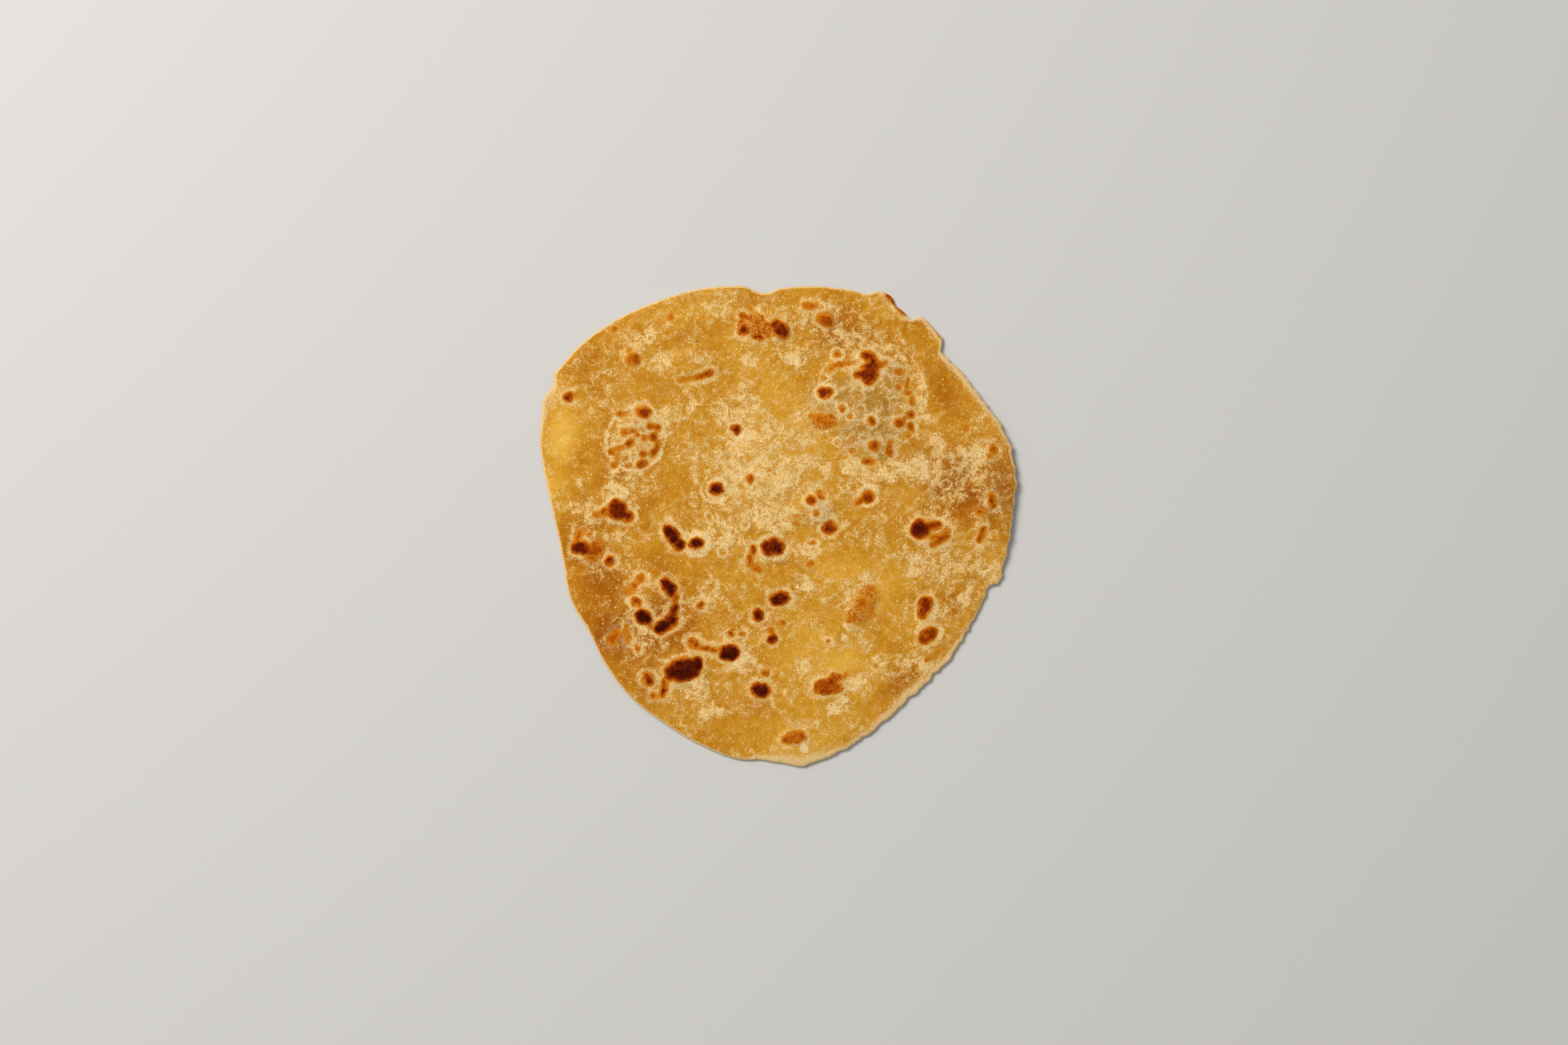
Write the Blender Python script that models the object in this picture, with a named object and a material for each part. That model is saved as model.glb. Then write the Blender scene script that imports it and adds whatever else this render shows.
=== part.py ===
"""A chapati: a thin flatbread of wholemeal dough, rolled by hand and cooked on a dry griddle.

The bread is one closed solid. It lies on its underside at Z = 0 with +Z up, and the middle of its box is over
the origin. The dimensions below are in millimetres and degrees; the finished mesh is in metres.
"""

import bmesh
import bpy
import numpy as np
from mathutils import Vector, noise

MM = 0.001

# The dough sheet.
THICKNESS = 2.0  # in the middle of the bread
RIM_THICKNESS = 1.6  # where the rolling pin ran off the rim
RIM_TAPER = 14.0  # width of the band over which the sheet thins
EDGE_ROUND = 1.3  # how far in the edge is rounded over
EDGE_MIDDLE = 0.45  # height of the edge's outermost line, as a share of the rim's thickness

# Distance of the rim from the middle, every 10 degrees, counter-clockwise from +X.
RIM_STEP = 10
RIM_RADII = (
    83.4, 86.3, 87.6, 85.8, 85.1, 86.2, 88.8, 88.4, 86.8,
    85.0, 87.0, 89.4, 91.3, 93.9, 95.6, 94.9, 90.4, 83.9,
    79.3, 77.7, 78.6, 77.3, 79.2, 80.8, 81.5, 83.1, 84.8,
    85.0, 85.5, 82.5, 79.5, 78.0, 77.7, 77.7, 78.4, 82.0,
)
# Tears and lobes of the rim: direction, half width in degrees, how far out (+) or in (-), and how square the
# shape is (2 is a soft bump, 6 or more has steep ends).
RIM_DETAILS = (
    (51.6, 4.4, 3.4, 8),  # lobe of dough that stuck out
    (57.6, 1.2, -0.5, 2),
    (65.0, 2.7, 2.7, 4),  # scorched ear beside it
    (45.6, 1.6, -0.8, 2),
    (93.6, 3.2, -2.2, 3),  # broad notch at the back
    (145.9, 1.7, 0.7, 2),  # pair of small tears on the left
    (148.5, 1.3, -1.1, 2),
    (152.5, 1.5, 0.7, 2),
    (265.8, 3.0, -0.9, 2),
    (275.6, 2.6, 1.2, 2),  # blunt point at the front
    (307.0, 1.5, -0.9, 2),
    (316.0, 1.4, -0.7, 2),
    (322.2, 1.6, 0.7, 2),
    (343.0, 1.4, -0.8, 3),  # square step on the right
    (345.6, 1.7, 1.6, 4),
)
# The rim crumbled from the front round the right side, up to the lobe.
CRUMBLED_FROM = -85.0
CRUMBLED_TO = 62.0
CRUMBLED_FADE = 12.0  # degrees over which the crumbling begins and ends
CRUMBLE_DEPTH = 0.45
CRUMBLE_SIZE = 3.2

# The bread lies flat in the middle, and its rim curls up a little between three places where it touches down.
CURL_FROM = 0.55  # share of the way out where the curl begins
CURL_RISE = 1.5
CURL_WAVES = ((2, 20.0, 0.6), (3, 140.0, 0.5), (5, 75.0, 0.35))  # waves round the rim, direction, share

# Unevenness that the rolling and the heat left in the upper face.
ROLLED_WAVE = 26.0
ROLLED_RISE = 0.4
LUMP_WAVE = 8.0
LUMP_RISE = 0.25
OUTLINE_WAVE = 7.0
OUTLINE_BEND = 1.3  # how far it bends the outlines of bubbles and blisters

# Large bubbles, where steam parted the two skins: X, Y, half length, half width, tilt, rise.
BUBBLES = (
    (32.0, 44.0, 24.0, 20.5, 80.0, 1.7),
    (-50.5, 30.0, 13.0, 11.0, 70.0, 1.1),
    (12.0, 5.0, 11.0, 7.5, 20.0, 0.7),
    (-43.5, -27.5, 11.0, 10.0, 100.0, 1.0),
    (63.0, 21.0, 9.5, 8.0, 60.0, 0.7),
    (55.0, -3.5, 9.5, 6.5, -15.0, 0.8),
    (-4.5, 70.0, 12.5, 7.5, -5.0, 1.0),
    (14.0, 76.0, 9.5, 5.5, -25.0, 0.6),
    (30.5, -29.0, 9.0, 5.5, 62.0, 0.8),
    (19.0, -58.0, 8.5, 5.0, 0.0, 0.7),
    (-32.0, -51.5, 11.0, 7.5, 10.0, 0.9),
    (-61.0, 4.5, 9.0, 6.5, 15.0, 0.7),
    (-68.0, -9.0, 7.5, 6.0, -10.0, 0.7),
    (6.0, -76.0, 7.5, 3.5, 0.0, 0.5),
    (73.5, 4.5, 9.0, 5.0, 95.0, 0.6),
    (53.0, -34.0, 10.5, 5.5, 80.0, 0.6),
    (-20.0, -44.0, 11.5, 4.5, -8.0, 0.6),
    (-30.0, 58.5, 11.5, 5.0, 8.0, 0.6),
)
# Blisters, whose tops browned first: X, Y, half length, half width, tilt, rise.
BLISTERS = (
    (-1.7, -8.7, 5.6, 4.2, 15.0, 1.2),
    (0.7, -27.0, 4.6, 3.4, 20.0, 0.9),
    (-28.9, -7.6, 4.6, 4.0, 0.0, 0.8),
    (-37.5, -4.5, 6.0, 3.2, -57.0, 0.8),
    (-38.6, -23.0, 4.8, 3.0, -58.0, 0.8),
    (-47.3, -33.2, 4.2, 3.0, -30.0, 0.8),
    (-39.8, -35.0, 5.2, 3.0, 35.0, 0.8),
    (-32.5, -51.6, 7.4, 4.6, 12.0, 0.7),
    (-17.4, -46.0, 4.2, 3.6, 0.0, 0.8),
    (-28.6, -42.9, 3.8, 2.4, -25.0, 0.6),
    (-45.6, -55.4, 3.2, 2.4, -60.0, 0.7),
    (-6.0, -59.6, 4.6, 3.4, -15.0, 0.8),
    (-6.9, -32.8, 3.0, 2.4, 90.0, 0.8),
    (-1.8, -41.3, 2.9, 2.6, 0.0, 0.8),
    (-21.8, 12.4, 4.0, 3.4, 0.0, 0.8),
    (-10.0, 16.1, 2.4, 2.3, 0.0, 0.6),
    (-14.9, 33.5, 2.6, 2.5, 0.0, 0.7),
    (-57.2, 5.0, 4.2, 3.8, 80.0, 0.8),
    (-69.2, -8.9, 4.8, 3.2, -20.0, 0.7),
    (-59.6, -13.5, 3.0, 2.4, 25.0, 0.7),
    (-74.7, 45.2, 2.8, 2.6, 0.0, 0.6),
    (-51.8, 59.0, 3.8, 3.2, 0.0, 0.7),
    (-48.3, 39.6, 3.8, 2.8, -10.0, 0.6),
    (-48.6, 21.4, 3.0, 2.2, 15.0, 0.6),
    (18.8, -1.6, 3.6, 2.6, 50.0, 0.8),
    (13.6, 9.0, 3.2, 2.2, -45.0, 0.6),
    (31.6, 9.2, 3.6, 2.8, 25.0, 0.7),
    (34.0, 27.3, 3.0, 2.4, 0.0, 0.6),
    (33.3, 36.2, 2.6, 2.6, 0.0, 0.6),
    (43.6, 36.0, 2.8, 2.2, 20.0, 0.6),
    (17.2, 46.6, 3.6, 3.0, 10.0, 0.8),
    (16.8, 36.7, 5.6, 2.8, -8.0, 0.6),
    (32.2, 53.0, 4.6, 4.0, 60.0, 0.8),
    (33.0, 58.2, 3.6, 3.0, -40.0, 0.7),
    (1.5, 69.2, 4.6, 3.4, -45.0, 0.8),
    (-11.8, 69.4, 3.4, 2.6, -30.0, 0.6),
    (17.3, 73.6, 4.4, 2.8, -20.0, 0.7),
    (51.2, -2.4, 4.6, 4.2, 0.0, 0.8),
    (52.6, -29.6, 5.0, 3.0, 75.0, 0.7),
    (53.4, -39.6, 4.6, 3.2, 35.0, 0.7),
    (76.2, 8.2, 3.6, 2.2, 100.0, 0.6),
)
# Creases, each a low lip of doubled skin: start X, Y, end X, Y, half width, rise.
CREASES = (
    (-35.0, 54.2, -19.0, 56.0, 1.6, 0.7),
    (51.5, 62.0, 54.0, 44.0, 2.2, 0.4),
    (-61.5, 17.5, -46.5, 17.0, 1.8, 0.35),
    (20.0, -61.5, 27.5, -62.5, 1.5, 0.3),
    (-4.5, -44.0, -7.5, -43.0, 1.4, 0.35),
)

# The bread is made as a fine sheet, which is then thinned where it is flat.
FINE_RINGS = 96
EDGE_RINGS = 4
TRIANGLES = 9400
WELD = 0.001  # the two faces meet within this distance along the rim
TABLE_SNAP = 0.02  # points this close to the table lie on it

CRUST_COLOUR = (0.58, 0.29, 0.06, 1.0)
CRUST_ROUGHNESS = 0.5


def smooth_step(value):
    """0 below 0, 1 above 1, and an even curve between."""
    share = np.clip(value, 0.0, 1.0)
    return share * share * (3.0 - 2.0 * share)


def noise_at(x, y, size, layer):
    """Even-grained noise between about -1 and 1, with lumps of the given size."""
    values = [noise.noise(Vector((u, v, layer))) for u, v in zip(x.ravel() / size, y.ravel() / size)]
    return np.array(values).reshape(x.shape)


def on_circle(radius, angle):
    """X and Y of a point at a distance and direction from the middle."""
    return radius * np.cos(np.radians(angle)), radius * np.sin(np.radians(angle))


def rim_radius(angle):
    """Distance of the rim from the middle in a direction, as a smooth curve through the named radii."""
    place = (angle % 360.0) / RIM_STEP
    first = np.floor(place).astype(int)
    t = place - first
    before, here, after, beyond = (np.take(RIM_RADII, first + k, mode="wrap") for k in (-1, 0, 1, 2))
    bend = 2 * before - 5 * here + 4 * after - beyond + t * (3 * (here - after) + beyond - before)
    radius = here + 0.5 * t * (after - before + t * bend)
    for direction, half_width, reach, squareness in RIM_DETAILS:
        apart = np.abs((angle - direction + 180.0) % 360.0 - 180.0) / half_width
        radius = radius + reach * np.exp(-(apart**squareness))
    return radius + crumbled_edge(angle, radius)


def crumbled_edge(angle, radius):
    """How far crumbs stand out of the rim, strongest along its torn stretch."""
    turned = (angle + 180.0) % 360.0 - 180.0
    torn = smooth_step((turned - CRUMBLED_FROM) / CRUMBLED_FADE) * smooth_step((CRUMBLED_TO - turned) / CRUMBLED_FADE)
    x, y = on_circle(radius, angle)
    crumbs = noise_at(x, y, CRUMBLE_SIZE, 3.0) + 0.6 * noise_at(x, y, CRUMBLE_SIZE / 3, 4.0)
    return CRUMBLE_DEPTH * (0.25 + torn) * crumbs


def oval_share(x, y, centre_x, centre_y, half_length, half_width, tilt):
    """Distance from an oval's middle, which is 1 on its outline and beyond it."""
    along, across = on_circle(1.0, tilt)
    right, up = x - centre_x, y - centre_y
    share = np.hypot((right * along + up * across) / half_length, (up * along - right * across) / half_width)
    return np.minimum(share, 1.0)


def crease_rise(x, y, start_x, start_y, end_x, end_y, half_width, rise):
    """Height of a rounded lip that fades towards its ends."""
    run = np.array((end_x - start_x, end_y - start_y))
    along = np.clip(((x - start_x) * run[0] + (y - start_y) * run[1]) / (run @ run), 0.0, 1.0)
    apart = np.hypot(x - start_x - along * run[0], y - start_y - along * run[1])
    return rise * np.sin(np.pi * (0.1 + 0.8 * along)) * np.exp(-((apart / half_width) ** 2))


def relief(x, y):
    """How far bubbles, blisters, creases and lumps stand above the rolled sheet."""
    height = ROLLED_RISE * noise_at(x, y, ROLLED_WAVE, 1.0) + LUMP_RISE * noise_at(x, y, LUMP_WAVE, 2.0)
    bent_x = x + OUTLINE_BEND * noise_at(x, y, OUTLINE_WAVE, 5.0)
    bent_y = y + OUTLINE_BEND * noise_at(x, y, OUTLINE_WAVE, 6.0)
    for *oval, rise in BUBBLES:
        height = height + rise * (1.0 - oval_share(bent_x, bent_y, *oval) ** 3) ** 2
    for *oval, rise in BLISTERS:
        height = height + rise * (1.0 - oval_share(bent_x, bent_y, *oval) ** 2) ** 2
    for crease in CREASES:
        height = height + crease_rise(bent_x, bent_y, *crease)
    return height


def table_gap(angle, share):
    """How far the underside is off the table, at a share of the way out to the rim."""
    wave = sum(part * np.cos(np.radians(count * (angle - start))) for count, start, part in CURL_WAVES)
    return CURL_RISE * np.clip(wave, 0.0, 1.0) * smooth_step((share - CURL_FROM) / (1.0 - CURL_FROM))


def disc_grid(rings):
    """Ring and direction of each crossing of a square grid, when its squares are bent into circles."""
    steps = np.arange(-rings, rings + 1.0)
    i, j = np.meshgrid(steps, steps, indexing="ij")
    wide = np.abs(i) >= np.abs(j)
    lean = np.divide(np.where(wide, j, i), np.where(wide, i, j), out=np.zeros_like(i), where=(i != 0) | (j != 0))
    angle = np.where(wide, 45.0 * lean + 180.0 * (i < 0), 90.0 - 45.0 * lean + 180.0 * (j < 0))
    return np.maximum(np.abs(i), np.abs(j)), angle


def bread_faces():
    """Upper and lower face of the bread, each a grid of points in millimetres."""
    ring, angle = disc_grid(FINE_RINGS + EDGE_RINGS)
    rim = rim_radius(angle)
    turn = np.clip((ring - FINE_RINGS) / EDGE_RINGS, 0.0, 1.0) * np.pi / 2
    radius = (rim - EDGE_ROUND) * np.minimum(ring / FINE_RINGS, 1.0) + EDGE_ROUND * np.sin(turn)
    inset = rim - radius
    x, y = on_circle(radius, angle)
    gap = table_gap(angle, radius / rim)
    thickness = RIM_THICKNESS + (THICKNESS - RIM_THICKNESS) * smooth_step(inset / RIM_TAPER)
    middle = EDGE_MIDDLE * RIM_THICKNESS
    raised = relief(x, y) * smooth_step(inset / (2.0 * EDGE_ROUND))
    upper = gap + middle + (thickness - middle) * np.cos(turn) + raised
    lower = gap + middle * (1.0 - np.cos(turn))
    return np.dstack((x, y, upper)), np.dstack((x, y, lower))


def fine_mesh():
    """Both faces as one closed mesh, welded along the rim."""
    upper, lower = bread_faces()
    points = np.concatenate((upper.reshape(-1, 3), lower.reshape(-1, 3)))
    index = np.arange(upper[..., 0].size).reshape(upper.shape[:2])
    quads = np.stack((index[:-1, :-1], index[1:, :-1], index[1:, 1:], index[:-1, 1:]), axis=-1).reshape(-1, 4)
    mesh = bpy.data.meshes.new("fine_sheet")
    mesh.from_pydata((points * MM).tolist(), [], np.concatenate((quads, quads[:, ::-1] + index.size)).tolist())
    sheet = bmesh.new()
    sheet.from_mesh(mesh)
    bmesh.ops.remove_doubles(sheet, verts=sheet.verts, dist=WELD * MM)
    sheet.to_mesh(mesh)
    sheet.free()
    return mesh


def thinned_mesh(fine):
    """The fine mesh with fewer triangles, most of them where the surface bends."""
    bread = bpy.data.objects.new("fine_sheet", fine)
    bpy.context.scene.collection.objects.link(bread)
    thin_out = bread.modifiers.new("thin_out", "DECIMATE")
    thin_out.ratio = TRIANGLES / (2 * len(fine.polygons))
    mesh = bpy.data.meshes.new_from_object(bread.evaluated_get(bpy.context.evaluated_depsgraph_get()))
    bpy.data.objects.remove(bread)
    bpy.data.meshes.remove(fine)
    return mesh


def set_on_table(mesh):
    """Moves the mesh so that it stands on Z = 0 with the middle of its box over the origin."""
    points = np.empty(3 * len(mesh.vertices))
    mesh.vertices.foreach_get("co", points)
    points = points.reshape(-1, 3)
    low, high = points.min(axis=0), points.max(axis=0)
    points -= ((low[0] + high[0]) / 2, (low[1] + high[1]) / 2, low[2])
    points[points[:, 2] < TABLE_SNAP * MM, 2] = 0.0
    mesh.vertices.foreach_set("co", points.ravel())
    mesh.update()


def crust_material():
    """Plain golden crust."""
    crust = bpy.data.materials.new("crust")
    crust.use_nodes = True
    shader = crust.node_tree.nodes["Principled BSDF"]
    shader.inputs["Base Color"].default_value = CRUST_COLOUR
    shader.inputs["Roughness"].default_value = CRUST_ROUGHNESS
    shader.inputs["Metallic"].default_value = 0.0
    return crust


def main():
    for old in list(bpy.data.objects):
        bpy.data.objects.remove(old)
    mesh = thinned_mesh(fine_mesh())
    mesh.name = "chapati"
    set_on_table(mesh)
    mesh.materials.append(crust_material())
    mesh.shade_smooth()
    chapati = bpy.data.objects.new("chapati", mesh)
    bpy.context.scene.collection.objects.link(chapati)


main()
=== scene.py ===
"""Looks of the chapati: its dense skin with every brown spot, and the loose flour and bran on it.

Lengths are in millimetres until a mesh is made in metres. Directions are in degrees, counter-clockwise
from +X. A tilt that a table's row leaves out is 0.
"""

import bpy
import numpy as np
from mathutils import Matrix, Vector, noise


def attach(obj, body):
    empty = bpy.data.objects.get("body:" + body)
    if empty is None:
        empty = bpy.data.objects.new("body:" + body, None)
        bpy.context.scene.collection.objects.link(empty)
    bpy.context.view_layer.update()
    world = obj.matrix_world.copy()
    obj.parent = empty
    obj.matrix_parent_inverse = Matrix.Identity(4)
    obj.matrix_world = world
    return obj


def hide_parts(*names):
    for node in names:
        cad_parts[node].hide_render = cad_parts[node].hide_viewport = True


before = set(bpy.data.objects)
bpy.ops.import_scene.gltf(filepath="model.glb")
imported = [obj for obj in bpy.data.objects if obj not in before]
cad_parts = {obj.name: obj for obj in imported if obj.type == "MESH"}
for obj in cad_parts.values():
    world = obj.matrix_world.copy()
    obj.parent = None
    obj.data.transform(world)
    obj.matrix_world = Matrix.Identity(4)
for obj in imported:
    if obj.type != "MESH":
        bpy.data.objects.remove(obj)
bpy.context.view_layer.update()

MM = 0.001
NEARLY_ZERO = 1e-9
# Noise for each purpose is read at a height of its own, so that no two patterns are alike.
NOISE_LAYERS = {
    "roll": 1, "lumps": 2, "crumbs": 3, "fine crumbs": 4, "outline x": 5, "outline y": 6, "pimples": 10,
    "puckers": 11, "pores": 12, "wrinkles": 15, "short x": 20, "long x": 21, "short y": 22, "long y": 23,
    "flour edge": 24, "flour below": 25, "tone below": 26, "flour patches": 27, "tone": 28, "fine tone": 29,
}

# ---------------------------------------------------------------- the dough sheet, as the solid has it
THICKNESS = 2.0
RIM_THICKNESS = 1.6
RIM_TAPER = 14.0
EDGE_ROUND = 1.3
EDGE_MIDDLE = 0.45
RIM_STEP = 10
RIM_RADII = (
    83.4, 86.3, 87.6, 85.8, 85.1, 86.2, 88.8, 88.4, 86.8,
    85, 87, 89.4, 91.3, 93.9, 95.6, 94.9, 90.4, 83.9,
    79.3, 77.7, 78.6, 77.3, 79.2, 80.8, 81.5, 83.1, 84.8,
    85, 85.5, 82.5, 79.5, 78, 77.7, 77.7, 78.4, 82,
)
# Tears and lobes of the rim: direction, half width in degrees, how far out or in, squareness.
RIM_DETAILS = (
    (51.6, 4.4, 3.4, 8), (57.6, 1.2, -0.5, 2), (65, 2.7, 2.7, 4), (45.6, 1.6, -0.8, 2),
    (93.6, 3.2, -2.2, 3), (145.9, 1.7, 0.7, 2), (148.5, 1.3, -1.1, 2), (152.5, 1.5, 0.7, 2),
    (265.8, 3, -0.9, 2), (275.6, 2.6, 1.2, 2), (307, 1.5, -0.9, 2), (316, 1.4, -0.7, 2),
    (322.2, 1.6, 0.7, 2), (343, 1.4, -0.8, 3), (345.6, 1.7, 1.6, 4),
)
CRUMBLED_FROM = -85.0
CRUMBLED_TO = 62.0
CRUMBLED_FADE = 12.0
CRUMBLED_ELSEWHERE = 0.25
CRUMBLE_DEPTH = 0.45
CRUMBLE_SIZE = 3.2
FINE_CRUMBS = 0.6
CURL_FROM = 0.55
CURL_RISE = 1.5
CURL_WAVES = ((2, 20, 0.6), (3, 140, 0.5), (5, 75, 0.35))
ROLLED_WAVE = 26.0
ROLLED_RISE = 0.4
LUMP_WAVE = 8.0
LUMP_RISE = 0.25
OUTLINE_WAVE = 7.0
OUTLINE_BEND = 1.3
# Large bubbles: X, Y, half length, half width, rise, tilt.
BUBBLES = (
    (32, 44, 24, 20.5, 1.7, 80), (-50.5, 30, 13, 11, 1.1, 70), (12, 5, 11, 7.5, 0.7, 20),
    (-43.5, -27.5, 11, 10, 1, 100), (63, 21, 9.5, 8, 0.7, 60), (55, -3.5, 9.5, 6.5, 0.8, -15),
    (-4.5, 70, 12.5, 7.5, 1, -5), (14, 76, 9.5, 5.5, 0.6, -25), (30.5, -29, 9, 5.5, 0.8, 62),
    (19, -58, 8.5, 5, 0.7), (-32, -51.5, 11, 7.5, 0.9, 10), (-61, 4.5, 9, 6.5, 0.7, 15),
    (-68, -9, 7.5, 6, 0.7, -10), (6, -76, 7.5, 3.5, 0.5), (73.5, 4.5, 9, 5, 0.6, 95),
    (53, -34, 10.5, 5.5, 0.6, 80), (-20, -44, 11.5, 4.5, 0.6, -8), (-30, 58.5, 11.5, 5, 0.6, 8),
)
# Blisters: X, Y, half length, half width, rise, tilt.
BLISTERS = (
    (-1.7, -8.7, 5.6, 4.2, 1.2, 15), (0.7, -27, 4.6, 3.4, 0.9, 20), (-28.9, -7.6, 4.6, 4, 0.8),
    (-37.5, -4.5, 6, 3.2, 0.8, -57), (-38.6, -23, 4.8, 3, 0.8, -58), (-47.3, -33.2, 4.2, 3, 0.8, -30),
    (-39.8, -35, 5.2, 3, 0.8, 35), (-32.5, -51.6, 7.4, 4.6, 0.7, 12), (-17.4, -46, 4.2, 3.6, 0.8),
    (-28.6, -42.9, 3.8, 2.4, 0.6, -25), (-45.6, -55.4, 3.2, 2.4, 0.7, -60),
    (-6, -59.6, 4.6, 3.4, 0.8, -15), (-6.9, -32.8, 3, 2.4, 0.8, 90), (-1.8, -41.3, 2.9, 2.6, 0.8),
    (-21.8, 12.4, 4, 3.4, 0.8), (-10, 16.1, 2.4, 2.3, 0.6), (-14.9, 33.5, 2.6, 2.5, 0.7),
    (-57.2, 5, 4.2, 3.8, 0.8, 80), (-69.2, -8.9, 4.8, 3.2, 0.7, -20), (-59.6, -13.5, 3, 2.4, 0.7, 25),
    (-74.7, 45.2, 2.8, 2.6, 0.6), (-51.8, 59, 3.8, 3.2, 0.7), (-48.3, 39.6, 3.8, 2.8, 0.6, -10),
    (-48.6, 21.4, 3, 2.2, 0.6, 15), (18.8, -1.6, 3.6, 2.6, 0.8, 50), (13.6, 9, 3.2, 2.2, 0.6, -45),
    (31.6, 9.2, 3.6, 2.8, 0.7, 25), (34, 27.3, 3, 2.4, 0.6), (33.3, 36.2, 2.6, 2.6, 0.6),
    (43.6, 36, 2.8, 2.2, 0.6, 20), (17.2, 46.6, 3.6, 3, 0.8, 10), (16.8, 36.7, 5.6, 2.8, 0.6, -8),
    (32.2, 53, 4.6, 4, 0.8, 60), (33, 58.2, 3.6, 3, 0.7, -40), (1.5, 69.2, 4.6, 3.4, 0.8, -45),
    (-11.8, 69.4, 3.4, 2.6, 0.6, -30), (17.3, 73.6, 4.4, 2.8, 0.7, -20), (51.2, -2.4, 4.6, 4.2, 0.8),
    (52.6, -29.6, 5, 3, 0.7, 75), (53.4, -39.6, 4.6, 3.2, 0.7, 35), (76.2, 8.2, 3.6, 2.2, 0.6, 100),
)
BUBBLE_FLATNESS = 3
BLISTER_FLATNESS = 2
# Creases: start X, Y, end X, Y, half width, rise.
CREASES = (
    (-35, 54.2, -19, 56, 1.6, 0.7), (51.5, 62, 54, 44, 2.2, 0.4), (-61.5, 17.5, -46.5, 17, 1.8, 0.35),
    (20, -61.5, 27.5, -62.5, 1.5, 0.3), (-4.5, -44, -7.5, -43, 1.4, 0.35),
)
CREASE_END = 0.1

# ---------------------------------------------------------------- what only the skin shows
# Fine roughness of the skin: size, height, noise layer.
SKIN_GRAIN = ((3.2, 0.1, "pimples"), (1.6, 0.07, "puckers"), (0.9, 0.035, "pores"))
# Wrinkles round bubbles: X, Y, inner and outer radius, spacing, direction, half width in degrees, height.
WRINKLES = (
    (-50.5, 30, 8.5, 14, 1.5, 0, 60, 0.1), (-50.5, 30, 9.5, 13.5, 1.4, 255, 45, 0.12),
    (32, 44, 17, 22, 1.9, 10, 50, 0.08), (-1.7, -8.7, 4.6, 7, 1.7, 300, 60, 0.1),
)
WRINKLE_WAVE = 4.0
WRINKLE_BEND = 0.5
WRINKLE_FADE = 1.5
# Pale puckered rims of bubbles, the arc along the big blister's lower edge a painted highlight: X, Y, half
# length, half width, line width, and for some a tilt and the direction and half angle of the stretch that
# they run along.
RINGS = (
    (-1.4, -8.6, 5.2, 4.3, 0.9, 15, 275, 95), (-28.9, -7.4, 5, 4.5, 1.2, 0, 300, 150),
    (-21.8, 12.4, 5.6, 5, 1, 0, 250, 120), (14, 3.5, 1.9, 2.4, 0.8),
    (15.6, 9.6, 2.1, 2.5, 0.7, -20, 330, 110), (12.2, 8.2, 2.2, 2.4, 0.6, 20, 200, 120),
    (-18, -6.2, 2, 1.8, 0.8), (-19.6, -10.4, 1.7, 1.9, 0.7, 20), (-11.6, -0.6, 1.6, 1.5, 0.8),
    (-4.2, 2.2, 1.4, 1.3, 0.7), (-24.4, 2, 1.2, 2.2, 0.7, 20), (-15.8, -3.2, 1.1, 1.2, 0.6),
    (51.4, -2.3, 4.4, 4.4, 0.8, 0, 215, 100), (58, -3.6, 4.4, 4.6, 0.7, 0, 350, 110),
    (60, 13.5, 1.9, 1.9, 0.7), (70.2, 25, 1.2, 1.5, 0.7), (43.3, 1.7, 0.9, 1.1, 0.6),
    (67, 20, 3.6, 4.6, 0.8, 0, 20, 70), (21.4, 60.5, 2.6, 2.4, 0.9), (23, 41, 2, 1.9, 0.8),
    (25.8, 38, 1.6, 1.6, 0.7), (33.3, 36.3, 2.5, 2.3, 0.8, 90), (17, 46.6, 3.4, 3, 0.9),
    (21.3, 29, 1.5, 1.5, 0.7), (16.5, 52, 1.5, 1.5, 0.7), (32.6, 45, 21.5, 20.2, 0.5, 80, 0, 60),
    (-50.6, 30, 11.4, 10.4, 1.1, 70), (31.8, 9.2, 3.6, 3.3, 0.8, 30), (47.3, 38.5, 2.2, 2.2, 0.7),
    (43.6, 36, 2.4, 2.2, 0.6, 20),
)
WHOLE_RING = (0, 0, 180)
RING_RISE = 0.14
RING_SLOPE = 0.9
RING_SLOPE_START = 0.6
RING_REACH = 3.0
RING_DRIFT = 0.3

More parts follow.
